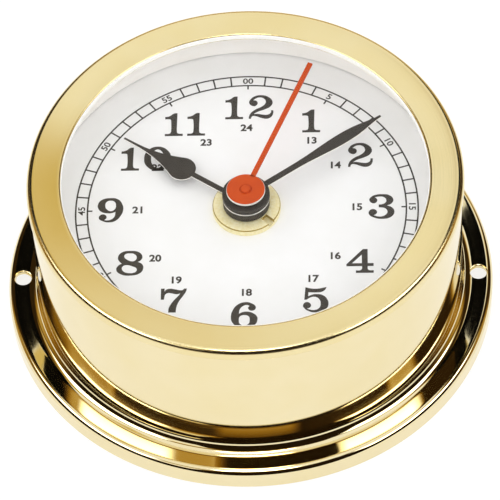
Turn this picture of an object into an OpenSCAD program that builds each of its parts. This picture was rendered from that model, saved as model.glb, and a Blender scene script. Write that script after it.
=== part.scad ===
// Marine clock: a round brass bulkhead clock with a quartz movement behind its dial.
// The back of the base lies on z = 0, the hands turn about +Z, and 12 o'clock is +Y.

/* [Case] */
// Diameter of the base, over the skirt
base_d = 95; // [93:0.5:105]
// Height of the flange's top above the wall that the clock is screwed to
base_h = 4.4; // [3.5:0.1:7]
// Radius of the flange's rolled edge
edge_r = 1.3; // [0.5:0.1:1.4]
// Thickness of the spun brass sheet
sheet_t = 1; // [0.7:0.05:1.3]
// Outer diameter of the drum
drum_d = 83; // [82:0.5:85]
// Radius of the cove between the drum and the flange
cove_r = 2.2; // [1.2:0.1:2.6]
// Height of the drum's rim above the wall
drum_h = 33.4; // [31:0.1:45]
// Distance of the screw holes from the base's edge
screw_inset = 2.8; // [2.2:0.1:3.2]
// Diameter of a screw hole
screw_hole_d = 3.2; // [2.5:0.1:3.4]
// Number of screw holes, spread evenly from 3 o'clock
screw_count = 2; // [2:1:4]

/* [Bezel and glass] */
// How far the bezel stands out over the drum
bezel_over = 0.35; // [0.1:0.05:1.5]
// Height of the bezel above the drum's rim
bezel_rise = 2.25; // [1.8:0.05:3.5]
// Radius of the bezel's outer edge
bezel_round = 1.15; // [0.6:0.05:1.5]
// Diameter of the opening in the bezel
aperture_d = 70.6; // [66:0.2:73]
// Drop of the bezel's face from its crest to its lip
dish_drop = 0.15; // [0.1:0.05:0.8]
// Radius of the hollow in the bezel's dished face
dish_r = 30; // [20:1:80]
// Height of the lip over the gasket
lip_h = 1.4; // [0.9:0.1:1.8]
// Radius of the lip's top edge
lip_round = 0.45; // [0.1:0.05:0.45]
// Wall of the bezel's spigot, which goes into the drum
spigot_t = 0.65; // [0.5:0.05:1]
// Radial clearance of the bezel's spigot in the drum
spigot_gap = 0.1; // [0.05:0.01:0.2]
// Thickness of the gasket on the glass
gasket_t = 0.4; // [0.2:0.05:0.6]
// How far the gasket stays back from the opening
gasket_inset = 0.7; // [0.4:0.1:1.5]
// Thickness of the glass
glass_t = 1.5; // [1:0.1:1.8]
// Radial clearance around the glass
glass_gap = 0.15; // [0.05:0.05:0.2]
// Air between the second hand's cap and the glass
glass_clear = 0.35; // [0.2:0.05:2]

/* [Dial] */
// Wall of the white spacer between dial and glass
rehaut_t = 1.4; // [1:0.1:2]
// Radial clearance of dial and spacer in the drum
drum_gap = 0.1; // [0.05:0.05:0.2]
// Thickness of the dial
dial_t = 0.8; // [0.5:0.1:1.2]
// Height of the ring that the dial lies on
seat_h = 2; // [1:0.1:3]
// Width of the ring that the dial lies on
seat_w = 1.75; // [1.2:0.05:2.5]
// Clearance between that ring and the movement's corners
seat_gap = 0.35; // [0.2:0.05:0.8]

/* [Centre fixing] */
// Diameter of the threaded bush
bush_d = 8; // [7.6:0.1:9]
// Diameter of the bush's flange inside the movement
bush_flange_d = 11; // [10:0.1:12]
// Thickness of the bush's flange
bush_flange_t = 0.7; // [0.5:0.05:1]
// Diameter of the rubber washer
rubber_d = 20; // [14:0.5:26]
// Thickness of the rubber washer
rubber_t = 0.8; // [0.5:0.05:1.2]
// Diameter of the centre nut and its washer
nut_d = 13.1; // [11.5:0.1:14]
// Thickness of the brass washer
washer_t = 0.4; // [0.3:0.05:0.6]
// Thickness of the centre nut
nut_t = 1.05; // [0.8:0.05:1.4]
// Width of the nut's two key slots
nut_slot_w = 1.5; // [1:0.1:2]
// Depth of the nut's key slots
nut_slot_deep = 0.6; // [0.3:0.05:0.7]
// Wall left between the nut's bore and a key slot
nut_slot_wall = 0.5; // [0.4:0.1:1]
// Direction of the first key slot, clockwise from 12
nut_slot_at = 132; // [0:1:359]

/* [Movement] */
// Side of the square movement case
move_w = 56; // [55:0.5:57]
// Corner radius of the movement case
move_corner = 3; // [2.5:0.5:3.5]
// Wall thickness of the movement case
case_t = 1.3; // [1:0.1:1.5]
// Depth of the front half of the movement case
front_half = 10; // [9:0.5:11]
// Diameter of the cell's nub
nub_d = 5.4; // [4.5:0.1:6]
// Length of the cell's nub
nub_l = 1.2; // [0.8:0.1:1.5]
// Clearance around the cell
cell_gap = 0.2; // [0.1:0.05:0.4]
// Clearance between the train's teeth and the wall of the cell's bay
train_clear = 0.7; // [0.5:0.05:1]
// Thickness of the wall between the cell and the train
bay_wall = 1; // [0.8:0.1:1.3]
// Thickness of the contact strips
contact_t = 0.4; // [0.3:0.05:0.5]
// Width of the contact strips
contact_w = 3; // [2:0.5:4]
// Height of the sprung leaf behind the cell
spring_h = 2.1; // [1.5:0.1:3]
// Side of the contact plates at the cell's ends
contact_plate_w = 9; // [7:0.5:10]
// Thickness of the middle plate
plate_t = 0.8; // [0.6:0.05:1.2]
// Diameter of the setting knob
knob_d = 10; // [8:0.5:12]
// Height of the setting knob
knob_h = 3.2; // [2:0.1:3.8]
// Number of grip flutes round the knob
knob_flutes = 16; // [12:1:20]
// Diameter of the knob's shaft
knob_shaft_d = 3; // [2.6:0.1:3.4]
// Length of the circuit board
board_l = 27; // [20:0.5:28]
// Width of the circuit board
board_w = 11; // [9:0.5:12]
// Thickness of the circuit board
board_t = 0.8; // [0.6:0.1:1.2]
// Diameter of the coil's winding
coil_d = 5.6; // [4.5:0.1:6]
// Length of the coil's winding
coil_l = 11; // [8:0.5:12]
// Thickness of the stator plate
stator_t = 1; // [0.8:0.1:1.2]
// Width of the stator's ring round the rotor
stator_ring_w = 2; // [1.5:0.1:2.2]
// Width of the stator's limbs and of the coil's core
limb_w = 2.6; // [2:0.1:3]
// Thickness of the coil's core
core_t = 1.5; // [1:0.1:1.8]
// Diameter of the rotor's magnet
rotor_d = 5; // [4:0.1:5.4]

/* [Gear train] */
// Thickness of the wheels
wheel_t = 1; // [0.8:0.05:1.2]
// Distance from one wheel level to the next
level_step = 2.1; // [2:0.05:2.4]
// Axial play between moving pieces
play = 0.35; // [0.25:0.05:0.45]
// Height of the pivot bosses
boss_h = 0.8; // [0.6:0.1:1.2]
// Diameter of the arbors
arbor_d = 1; // [0.8:0.05:1.1]
// Radial running clearance of arbors and tubes
run_gap = 0.05; // [0.02:0.01:0.08]
// Clearance between the centre wheel's teeth and the intermediate arbor
arbor_clear = 0.3; // [0.25:0.05:0.6]
// Outer diameter of the minute tube
minute_tube_d = 3.2; // [2.8:0.05:3.4]
// Outer diameter of the hour tube
hour_tube_d = 5; // [4.6:0.05:5.4]
// Diameter of the motion wheel's stud
stud_d = 1.6; // [1.2:0.1:1.8]
// Distance of the third wheel's axis from the centre
third_dist = 10.2; // [10:0.05:10.6]
// Distance of the rotor's axis from the intermediate wheel's
rotor_dist = 6; // [5.8:0.05:6.2]
// Distance of the motion wheel's axis from the centre
motion_dist = 9; // [8.6:0.05:9.2]
// Width of the wheels' spokes
spoke_w = 1.1; // [0.8:0.05:1.4]
// Width of a wheel's hub round its arbor
hub_w = 1.1; // [0.8:0.05:1.4]
// Width of a wheel's hub round its tube
tube_hub_w = 0.8; // [0.5:0.05:1]

/* [Hands] */
// Thickness of the hand blades
blade_t = 0.3; // [0.2:0.05:0.4]
// Air between the nut, the hands and each other
hand_gap = 0.3; // [0.2:0.05:0.4]
// Diameter of the hour hand's boss
hour_boss_d = 9; // [7:0.1:10]
// Height of the hour hand's boss
hour_boss_h = 1.95; // [1.5:0.05:2.2]
// Diameter of the minute hand's boss
minute_boss_d = 9.15; // [7:0.05:10]
// Height of the minute hand's boss
minute_boss_h = 1.4; // [1.1:0.05:1.7]
// Diameter of the second hand's disc
second_disc_d = 7.45; // [5:0.05:9]
// Thickness of the second hand and its disc
second_t = 0.45; // [0.3:0.05:0.6]
// Diameter of the cap on the second hand's disc
cap_d = 1.85; // [1.6:0.05:2.4]
// Height of the cap over the disc
cap_h = 0.35; // [0.25:0.05:0.5]
// Length of the hour hand
hour_l = 29; // [27:0.5:33]
// Length of the minute hand
minute_l = 32.3; // [28:0.1:36]
// Length of the second hand
second_l = 33.6; // [28:0.1:37]
// Width of the hour hand's stem
hour_stem_w = 0.88; // [0.6:0.02:1.4]
// Diameter of the hour hand's round lobe
lobe_d = 5.4; // [4:0.1:7]
// Distance of the lobe's centre from the arbor
lobe_at = 15.2; // [13:0.1:18]
// Distance from the arbor where the lobe has narrowed to the point
point_at = 26.4; // [24:0.1:26.8]
// Width of the hour and minute hands' points
point_w = 0.5; // [0.3:0.02:0.8]
// Width of the minute hand's stem
minute_stem_w = 1.05; // [0.7:0.05:1.5]
// Distance from the arbor where the minute hand starts to widen
leaf_from = 9; // [7:0.1:14]
// Distance from the arbor where the minute hand is widest
leaf_at = 22.8; // [18:0.1:26]
// Greatest width of the minute hand
leaf_w = 2.5; // [1.8:0.1:3.5]
// Width of the second hand
second_w = 0.95; // [0.6:0.05:1.4]
// Hour hand's direction, clockwise from 12
hour_at = 304.4; // [0:0.1:360]
// Minute hand's direction, clockwise from 12
minute_at = 53.6; // [0:0.1:360]
// Second hand's direction, clockwise from 12
second_at = 21.6; // [0:0.1:360]

/* [Hidden] */
$fn = 96;

// Colours as the photograph shows them, and usual ones for what it hides
brass = "#E3D08A";
nut_brass = "#E0D6A0";
white = "#F7F6F5";
black = "#23211F";
red = "#D2562A";
clear = [0.85, 0.92, 0.95, 0.3];
black_plastic = "#2B2C2E";
pale_plastic = "#E8E6DF";
steel = "#B9BDC2";
copper = "#B5672E";
board_green = "#2F6B44";

// Cutters run this far past the faces that they go through
past = 1;

function polar(r, a) = [r * cos(a), r * sin(a)];
function arc(centre, r, from, to, steps) =
    [for (i = [0 : steps]) centre + polar(r, from + (to - from) * i / steps)];

// Reach of the movement's corners. Where it needs more room than the drum has, the case grows
move_reach = (move_w / 2 - move_corner) * sqrt(2) + move_corner;
case_grow = max(0, move_reach + seat_gap + seat_w + sheet_t - drum_d / 2);

// Radii of the case and of what fits into the drum
base_r = base_d / 2 + case_grow;
drum_r = drum_d / 2 + case_grow;
drum_in = drum_r - sheet_t;
cove_x = drum_r + cove_r;
aperture_r = aperture_d / 2;
bezel_r = drum_r + bezel_over;
crest_r = bezel_r - bezel_round;
spigot_out = drum_in - spigot_gap;
spigot_in = spigot_out - spigot_t;
glass_r = spigot_in - glass_gap;
dial_r = drum_in - drum_gap;

// Heights, from the bezel's crest down to the inside of the movement
hands_h = washer_t + nut_t + hour_boss_h + minute_boss_h + second_t + cap_h + 3 * hand_gap;
rehaut_h = hands_h + glass_clear;
bezel_top = drum_h + bezel_rise;
lip_top = bezel_top - dish_drop;
lip_low = lip_top - lip_h;
glass_top = lip_low - gasket_t;
glass_low = glass_top - glass_t;
dial_top = glass_low - rehaut_h;
dial_low = dial_top - dial_t;
move_front = dial_low - rubber_t;
front_in = move_front - case_t;

// Heights of the wheels over the back wall's inner face
plate_over_back = boss_h + play + 3 * level_step + wheel_t + play;
motion_over_back = plate_over_back + plate_t + play;
hour_over_back = motion_over_back + wheel_t + play;
inside_depth = hour_over_back + wheel_t + play + bush_flange_t;
back_in = front_in - inside_depth;
move_back = back_in - case_t;
split_z = move_front - front_half;
plate_z = back_in + plate_over_back;
plate_top = plate_z + plate_t;
motion_z = back_in + motion_over_back;
hour_z = back_in + hour_over_back;
function level(i) = back_in + boss_h + play + i * level_step;

// Pinions stand a little proud of the wheels that they drive
pinion_over = 0.1;
pinion_t = wheel_t + 2 * pinion_over;

// Heights of the hands
nut_top = dial_top + washer_t + nut_t;
hour_hand_z = nut_top + hand_gap;
hour_boss_top = hour_hand_z + hour_boss_h;
minute_hand_z = hour_boss_top + hand_gap;
minute_boss_top = minute_hand_z + minute_boss_h;
second_hand_z = minute_boss_top + hand_gap;
cap_roof = 0.2;
second_bore = second_t + cap_h - cap_roof;

// Radii of arbors, tubes and their holes
arbor_r = arbor_d / 2;
arbor_hole_r = arbor_r + run_gap;
minute_tube_r = minute_tube_d / 2;
minute_hole_r = minute_tube_r + run_gap;
hour_tube_r = hour_tube_d / 2;
bush_r = bush_d / 2;
stud_r = stud_d / 2;
knob_shaft_r = knob_shaft_d / 2;
knob_hole_r = knob_shaft_r + run_gap;
boss_r = 1.6;
pivot_floor = 0.2;
pivot_gap = 0.08;

// Tooth counts: 30 turns of the rotor to a turn of the second hand, 60 of that to a turn of the
// minute hand, and 12 of that to a turn of the hour hand
rotor_n = 8;
inter_n = 40;
inter_pinion_n = 8;
seconds_n = 48;
seconds_pinion_n = 8;
third_n = 60;
third_pinion_n = 8;
centre_n = 64;
cannon_n = 12;
motion_n = 36;
motion_pinion_n = 10;
hour_n = 40;
knob_n = 12;

// Tooth outlines: addendum and dedendum in modules, half widths at root and tip in pitches
wheel_tooth = [0.8, 1.25, 0.285, 0.085];
pinion_tooth = [0.7, 1.15, 0.24, 0.11];

// Modules that close each distance
function module_of(distance, n1, n2) = 2 * distance / (n1 + n2);
function tip_r(n, m, tooth) = n * m / 2 + tooth[0] * m;
function root_r(n, m, tooth) = n * m / 2 - tooth[1] * m;
rotor_m = module_of(rotor_dist, rotor_n, inter_n);
seconds_m = module_of(third_dist, seconds_pinion_n, third_n);
third_m = module_of(third_dist, third_pinion_n, centre_n);
inter_dist = tip_r(centre_n, third_m, wheel_tooth) + arbor_r + arbor_clear;
inter_m = module_of(inter_dist, inter_pinion_n, seconds_n);
cannon_m = module_of(motion_dist, cannon_n, motion_n);
motion_m = module_of(motion_dist, motion_pinion_n, hour_n);
knob_dist = cannon_m * (motion_n + knob_n) / 2;

// Directions between the axes, counter-clockwise from 3 o'clock
third_dir = 60;
inter_dir = 180;
rotor_dir = 150;
motion_dir = -20;
knob_dir = 0;
third_at = polar(third_dist, third_dir);
inter_at = polar(inter_dist, inter_dir);
rotor_at = inter_at + polar(rotor_dist, rotor_dir);
motion_at = polar(motion_dist, motion_dir);
knob_at = motion_at + polar(knob_dist, knob_dir);

// Turn of gear b that puts it in mesh with gear a, where b lies in direction dir from a
function in_mesh(dir, na, turn_a, nb) = dir + 180 - 180 / nb + (dir - turn_a) * na / nb;
inter_turn = in_mesh(inter_dir, seconds_n, 0, inter_pinion_n);
rotor_turn = in_mesh(rotor_dir, inter_n, 0, rotor_n);
third_turn = in_mesh(third_dir, seconds_pinion_n, 0, third_n);
centre_turn = in_mesh(third_dir + 180, third_pinion_n, 0, centre_n);
motion_turn = in_mesh(motion_dir, cannon_n, 0, motion_n);
hour_turn = in_mesh(motion_dir + 180, motion_pinion_n, 0, hour_n);
knob_turn = in_mesh(knob_dir, motion_n, motion_turn, knob_n);

// Inside of the movement case. The cell fills the bay that the train leaves along the lower side
fit_gap = 0.1;
move_in = move_w / 2 - case_t;
in_corner = move_corner - case_t;
corner_at = move_in - in_corner;
strip_in = move_in - contact_t;
train_reach = max(
    tip_r(centre_n, third_m, wheel_tooth),
    tip_r(motion_n, cannon_m, wheel_tooth) - motion_at[1]
);
train_low = -train_reach - train_clear;
bay_top = train_low - bay_wall;
cell_d = move_in + bay_top - 2 * cell_gap;
cell_r = cell_d / 2;
cell_y = cell_gap + cell_r - move_in;
cell_z = front_in - cell_gap - cell_r;
contact_z = cell_z - contact_w / 2;
cell_l = 2 * strip_in - spring_h;

// Posts of the front half that carry the middle plate
post_r = 1.4;
post_inset = 4.5;
post_x = move_in - post_inset;
plate_posts = [for (x = [-post_x, post_x], y = [post_x, train_low + post_inset]) [x, y]];

// Circuit board in a top corner of the back half, on two posts
board_lift = 0.5;
board_x = strip_in - board_l;
board_y = strip_in - board_w;
board_z = back_in + board_lift;
board_top = board_z + board_t;
board_inset = 3;
board_posts = [
    [board_x + board_inset, board_y + board_inset],
    [strip_in - board_inset, strip_in - board_inset]
];

// Step motor: stator plate round the rotor, and a core through the coil
stator_gap = 0.5;
stator_low = level(1) + wheel_t + play;
stator_hole_r = rotor_d / 2 + stator_gap;
stator_ring_r = stator_hole_r + stator_ring_w;
magnet_over = 0.6;
bobbin_wall = 0.2;
bobbin_r = norm([limb_w, core_t]) / 2 + bobbin_wall;
bobbin_end_t = 0.6;
bobbin_end_r = coil_d / 2 + 0.3;
coil_wall_gap = 3.5;
coil_at = [rotor_at[0], move_in - coil_wall_gap - bobbin_end_r];
core_z = stator_low - core_t;
coil_z = core_z + core_t / 2;
limb_x = coil_l / 2 + bobbin_end_t + limb_w / 2;

// A ring of rectangular section
module ring(r_in, r_out, t) {
    rotate_extrude()
        translate([r_in, 0])
            square([r_out - r_in, t]);
}

// The lower left quarter of a flat ring
module quarter_ring(r_in, r_out) {
    intersection() {
        difference() {
            circle(r_out);
            circle(r_in);
        }
        translate([-r_out, -r_out])
            square(r_out);
    }
}

// A square with rounded corners, centred
module rounded_square(w, r) {
    square([w, w - 2 * r], center = true);
    square([w - 2 * r, w], center = true);
    for (x = [-1, 1], y = [-1, 1])
        translate([x * (w / 2 - r), y * (w / 2 - r)])
            circle(r);
}

// An outline from the points of its right side, mirrored for its left
module both_sides(right) {
    left = [for (i = [len(right) - 1 : -1 : 0]) [-right[i][0], right[i][1]]];
    polygon(concat(right, left));
}

// Outline of a gear with its first tooth in the given direction
function gear_points(n, m, turn, tooth) =
    let (tip = tip_r(n, m, tooth), root = root_r(n, m, tooth))
    let (corners = [[root, -tooth[2]], [tip, -tooth[3]], [tip, tooth[3]], [root, tooth[2]]])
    [for (i = [0 : n - 1], c = corners) polar(c[0], turn + (i + c[1]) * 360 / n)];

module gear(n, m, t, turn, tooth) {
    linear_extrude(t)
        polygon(gear_points(n, m, turn, tooth));
}

// A wheel with its rim, hub and spokes, cut from a gear blank
module spoked_wheel(n, m, turn, hub_r, spokes) {
    rim_r = root_r(n, m, wheel_tooth) - 1.2 * m;
    difference() {
        gear(n, m, wheel_t, turn, wheel_tooth);
        translate([0, 0, -past])
            linear_extrude(wheel_t + 2 * past)
                difference() {
                    circle(rim_r);
                    circle(hub_r);
                    for (i = [0 : spokes - 1])
                        rotate(i * 360 / spokes)
                            translate([0, -spoke_w / 2])
                                square([rim_r + past, spoke_w]);
                }
    }
}

// Case and front

module case_profile() {
    translate([base_r - sheet_t, 0])
        square([sheet_t, base_h - edge_r]);
    translate([cove_x, base_h - sheet_t])
        square([base_r - edge_r - cove_x, sheet_t]);
    translate([base_r - edge_r, base_h - edge_r])
        circle(edge_r);
    translate([cove_x, base_h + cove_r])
        quarter_ring(cove_r, cove_r + sheet_t);
    translate([drum_in, base_h + cove_r])
        square([sheet_t, drum_h - base_h - cove_r]);
}

module case_shell() {
    color(brass)
        difference() {
            rotate_extrude()
                case_profile();
            for (i = [0 : screw_count - 1])
                rotate(i * 360 / screw_count)
                    translate([base_r - screw_inset, 0, -past])
                        cylinder(d = screw_hole_d, h = base_h + cove_r + past);
        }
}

// A lip over the glass, a face dished in a hollow arc, a rounded edge and a spigot
module bezel_profile() {
    edge_steps = 8;
    lip_centre = [aperture_r + lip_round, lip_top - lip_round];
    edge_centre = [crest_r, bezel_top - bezel_round];
    lip_in = lip_centre + [0, lip_round];
    crest = edge_centre + [0, bezel_round];
    chord = crest - lip_in;
    up = [-chord[1], chord[0]] / norm(chord);
    dish_centre = (lip_in + crest) / 2 + up * sqrt(pow(dish_r, 2) - pow(norm(chord) / 2, 2));
    to_lip = lip_in - dish_centre;
    to_crest = crest - dish_centre;
    dish = arc(dish_centre, dish_r, atan2(to_lip[1], to_lip[0]), atan2(to_crest[1], to_crest[0]), edge_steps);
    polygon(concat(
        [[aperture_r, lip_low]],
        arc(lip_centre, lip_round, 180, 90, edge_steps / 2),
        [for (i = [1 : edge_steps - 1]) dish[i]],
        arc(edge_centre, bezel_round, 90, 0, edge_steps),
        [[bezel_r, drum_h], [spigot_out, drum_h], [spigot_out, glass_low]],
        [[spigot_in, glass_low], [spigot_in, lip_low]]
    ));
}

module bezel() {
    color(brass)
        rotate_extrude()
            bezel_profile();
}

module glass() {
    color(clear)
        translate([0, 0, glass_low])
            cylinder(r = glass_r, h = glass_t);
}

module glass_gasket() {
    color(black)
        translate([0, 0, glass_top])
            ring(aperture_r + gasket_inset, glass_r - glass_gap, gasket_t);
}

module rehaut_ring() {
    color(white)
        translate([0, 0, dial_top])
            ring(dial_r - rehaut_t, dial_r, rehaut_h);
}

module dial() {
    color(white)
        translate([0, 0, dial_low])
            ring(bush_r, dial_r, dial_t);
}

module dial_seat_ring() {
    color(brass)
        translate([0, 0, dial_low - seat_h])
            ring(drum_in - seat_w, drum_in, seat_h);
}

// Centre fixing

module threaded_bush() {
    bore_r = hour_tube_r + run_gap;
    color(nut_brass) {
        translate([0, 0, front_in - bush_flange_t])
            ring(bore_r, bush_flange_d / 2, bush_flange_t);
        translate([0, 0, front_in])
            ring(bore_r, bush_r, nut_top - front_in);
    }
}

module rubber_washer() {
    color(black)
        translate([0, 0, move_front])
            ring(bush_r, rubber_d / 2, rubber_t);
}

module brass_washer() {
    color(nut_brass)
        translate([0, 0, dial_top])
            ring(bush_r, nut_d / 2, washer_t);
}

module slotted_nut() {
    color(nut_brass)
        translate([0, 0, dial_top + washer_t])
            difference() {
                ring(bush_r, nut_d / 2, nut_t);
                for (turn = [0, 180])
                    rotate(90 - nut_slot_at + turn)
                        translate([bush_r + nut_slot_wall, -nut_slot_w / 2, nut_t - nut_slot_deep])
                            cube([nut_d, nut_slot_w, nut_t]);
            }
}

// Movement case

// Wall between the cell and the train, with room at its ends for the contact strips
module bay_partition(z, h) {
    half = strip_in - fit_gap;
    translate([-half, bay_top, z])
        cube([2 * half, bay_wall, h]);
}

module movement_front_case() {
    color(black_plastic) {
        difference() {
            translate([0, 0, split_z])
                linear_extrude(front_half)
                    rounded_square(move_w, move_corner);
            translate([0, 0, split_z - past])
                linear_extrude(front_in - split_z + past)
                    rounded_square(2 * move_in, in_corner);
            translate([0, 0, front_in - past])
                cylinder(r = bush_r, h = case_t + 2 * past);
        }
        bay_partition(split_z, front_in - split_z);
        for (p = plate_posts)
            translate([p[0], p[1], plate_top])
                cylinder(r = post_r, h = front_in - plate_top);
    }
}

// The floor is open under the cell, and carries the pivots, the board and the coil's core
module movement_back_case() {
    color(pale_plastic) {
        difference() {
            translate([0, 0, move_back])
                linear_extrude(split_z - move_back)
                    rounded_square(move_w, move_corner);
            translate([0, 0, back_in])
                linear_extrude(split_z - back_in + past)
                    rounded_square(2 * move_in, in_corner);
            translate([0, 0, move_back - past])
                linear_extrude(case_t + 2 * past)
                    intersection() {
                        rounded_square(2 * move_in, in_corner);
                        translate([-move_w, -move_w])
                            square([2 * move_w, move_w + bay_top]);
                    }
            translate([knob_at[0], knob_at[1], move_back - past])
                cylinder(r = knob_hole_r, h = case_t + 2 * past);
        }
        bay_partition(back_in, split_z - back_in);
        for (p = [[0, 0], third_at, inter_at, rotor_at])
            translate([p[0], p[1], back_in])
                difference() {
                    cylinder(r = boss_r, h = boss_h);
                    translate([0, 0, pivot_floor])
                        cylinder(r = arbor_hole_r, h = boss_h);
                }
        for (p = board_posts)
            translate([p[0], p[1], back_in])
                cylinder(r = post_r, h = board_lift);
        for (side = [-1, 1])
            translate([coil_at[0] + side * limb_x, coil_at[1], back_in])
                cylinder(d = limb_w, h = core_z - back_in);
    }
}

module middle_plate() {
    color(pale_plastic) {
        translate([0, 0, plate_z])
            linear_extrude(plate_t)
                difference() {
                    intersection() {
                        rounded_square(2 * (move_in - fit_gap), in_corner);
                        translate([-move_w, train_low + fit_gap])
                            square(2 * move_w);
                    }
                    circle(minute_hole_r);
                    for (p = [third_at, inter_at, rotor_at])
                        translate(p)
                            circle(arbor_hole_r);
                    translate(knob_at)
                        circle(knob_hole_r);
                }
        translate([motion_at[0], motion_at[1], plate_top])
            cylinder(r = stud_r, h = front_in - bush_flange_t - plate_top);
    }
}

// Cell and contacts

module battery_cell() {
    color(steel)
        translate([strip_in, cell_y, cell_z])
            rotate([0, -90, 0]) {
                cylinder(d = nub_d, h = nub_l);
                translate([0, 0, nub_l])
                    cylinder(r = cell_r, h = cell_l - nub_l);
            }
}

// Plate against the bay's end wall, and a strip along the side wall
module contact_strip(to_y) {
    translate([strip_in, cell_y - contact_plate_w / 2, cell_z - contact_plate_w / 2])
        cube([contact_t, contact_plate_w, contact_plate_w]);
    translate([strip_in, cell_y, contact_z])
        cube([contact_t, to_y - cell_y, contact_w]);
}

// The strip ends in a tab down to the board's edge
module positive_contact() {
    tab_y = board_y + board_inset;
    color(steel) {
        contact_strip(tab_y + contact_w);
        translate([strip_in, tab_y, board_z])
            cube([contact_t, contact_w, contact_z + contact_w - board_z]);
    }
}

// A leaf bows out from the plate to the cell, and the strip runs round a corner to the board
module negative_contact() {
    leaf_half = contact_plate_w / 2 - contact_t;
    bow_r = (pow(leaf_half, 2) + pow(spring_h, 2)) / (2 * spring_h);
    color(steel) {
        mirror([1, 0, 0])
            contact_strip(corner_at);
        translate([-strip_in, cell_y, contact_z])
            linear_extrude(contact_w)
                intersection() {
                    translate([spring_h - bow_r, 0])
                        difference() {
                            circle(bow_r);
                            circle(bow_r - contact_t);
                        }
                    translate([-contact_t / 2, -contact_plate_w / 2])
                        square([spring_h + past, contact_plate_w]);
                }
        translate([-corner_at, corner_at, contact_z])
            linear_extrude(contact_w)
                rotate(-90)
                    quarter_ring(in_corner - contact_t, in_corner);
        translate([-corner_at, strip_in, contact_z])
            cube([board_x + contact_w + corner_at, contact_t, contact_w]);
        translate([board_x, strip_in, board_z])
            cube([contact_w, contact_t, contact_z + contact_w - board_z]);
    }
}

// Electronics

module circuit_board() {
    color(board_green)
        translate([0, 0, board_z])
            linear_extrude(board_t)
                intersection() {
                    rounded_square(2 * strip_in, in_corner);
                    translate([board_x, board_y])
                        square([board_l + past, board_w + past]);
                }
}

module control_chip() {
    dome_r = 2.6;
    dome_h = 1.1;
    ball_r = (pow(dome_r, 2) + pow(dome_h, 2)) / (2 * dome_h);
    color(black_plastic)
        translate([board_x + board_l / 2, board_y + board_w / 2, board_top])
            intersection() {
                translate([0, 0, dome_h - ball_r])
                    sphere(ball_r);
                cylinder(r = dome_r + past, h = dome_h + past);
            }
}

module quartz_crystal() {
    can_r = 1;
    can_l = 6;
    color(steel)
        translate([strip_in - board_inset - can_l, board_y + board_w / 2, board_top + can_r])
            rotate([0, 90, 0])
                cylinder(r = can_r, h = can_l);
}

// Step motor

// A ring round the rotor, and two limbs that run out to the coil's core
module stator() {
    root_y = 1;
    root_in = stator_hole_r + 0.15 * stator_ring_w;
    root_out = stator_ring_r - 0.15 * stator_ring_w;
    coil_y = coil_at[1] - rotor_at[1];
    end_y = coil_y + limb_w / 2;
    knee_y = coil_y - bobbin_end_r - play;
    color(steel)
        translate([rotor_at[0], rotor_at[1], stator_low])
            linear_extrude(stator_t)
                difference() {
                    union() {
                        circle(stator_ring_r);
                        both_sides([
                            [root_out, -root_y], [limb_x + limb_w / 2, knee_y],
                            [limb_x + limb_w / 2, end_y], [limb_x - limb_w / 2, end_y],
                            [limb_x - limb_w / 2, knee_y], [root_in, root_y]
                        ]);
                    }
                    circle(stator_hole_r);
                }
}

module coil_core() {
    core_half = limb_x + limb_w / 2;
    color(steel)
        translate([coil_at[0] - core_half, coil_at[1] - limb_w / 2, core_z])
            cube([2 * core_half, limb_w, core_t]);
}

module coil_bobbin() {
    color(pale_plastic)
        translate([coil_at[0], coil_at[1], coil_z])
            rotate([0, 90, 0])
                difference() {
                    union() {
                        cylinder(r = bobbin_r, h = coil_l + 2 * bobbin_end_t, center = true);
                        for (side = [-1, 1])
                            translate([0, 0, side * (coil_l + bobbin_end_t) / 2])
                                cylinder(r = bobbin_end_r, h = bobbin_end_t, center = true);
                    }
                    cube([core_t, limb_w, 2 * coil_l], center = true);
                }
}

module coil_winding() {
    color(copper)
        translate([coil_at[0] - coil_l / 2, coil_at[1], coil_z])
            rotate([0, 90, 0])
                ring(bobbin_r, coil_d / 2, coil_l);
}

// Moving pieces of the movement

// An arbor from its blind pivot in the back half
module arbor(z_top) {
    z_low = back_in + pivot_floor + pivot_gap;
    translate([0, 0, z_low])
        cylinder(r = arbor_r, h = z_top - z_low);
}

module rotor() {
    color(steel)
        translate(rotor_at) {
            arbor(plate_top);
            translate([0, 0, level(0) - pinion_over])
                gear(rotor_n, rotor_m, pinion_t, rotor_turn, pinion_tooth);
            translate([0, 0, stator_low - magnet_over])
                cylinder(d = rotor_d, h = stator_t + 2 * magnet_over);
        }
}

module intermediate_wheel() {
    color(white)
        translate(inter_at) {
            arbor(plate_top);
            translate([0, 0, level(0)])
                spoked_wheel(inter_n, rotor_m, 0, arbor_r + hub_w, 4);
            translate([0, 0, level(1) - pinion_over])
                gear(inter_pinion_n, inter_m, pinion_t, inter_turn, pinion_tooth);
        }
}

module seconds_wheel() {
    color(white) {
        arbor(second_hand_z + second_bore);
        translate([0, 0, level(1)])
            spoked_wheel(seconds_n, inter_m, 0, arbor_r + hub_w, 4);
        translate([0, 0, level(2) - pinion_over])
            gear(seconds_pinion_n, seconds_m, pinion_t, 0, pinion_tooth);
    }
}

module third_wheel() {
    color(white)
        translate(third_at) {
            arbor(plate_top);
            translate([0, 0, level(2)])
                spoked_wheel(third_n, seconds_m, third_turn, arbor_r + hub_w, 4);
            translate([0, 0, level(3) - pinion_over])
                gear(third_pinion_n, third_m, pinion_t, 0, pinion_tooth);
        }
}

// The wheel, the cannon pinion and the tube that carries the minute hand
module centre_wheel() {
    tube_h = minute_boss_top - level(3);
    color(white)
        difference() {
            union() {
                translate([0, 0, level(3)]) {
                    spoked_wheel(centre_n, third_m, centre_turn, minute_tube_r + tube_hub_w, 5);
                    cylinder(r = minute_tube_r, h = tube_h);
                }
                translate([0, 0, motion_z])
                    gear(cannon_n, cannon_m, wheel_t + pinion_over, 0, pinion_tooth);
            }
            translate([0, 0, level(3) - past])
                cylinder(r = arbor_hole_r, h = tube_h + 2 * past);
        }
}

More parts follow.
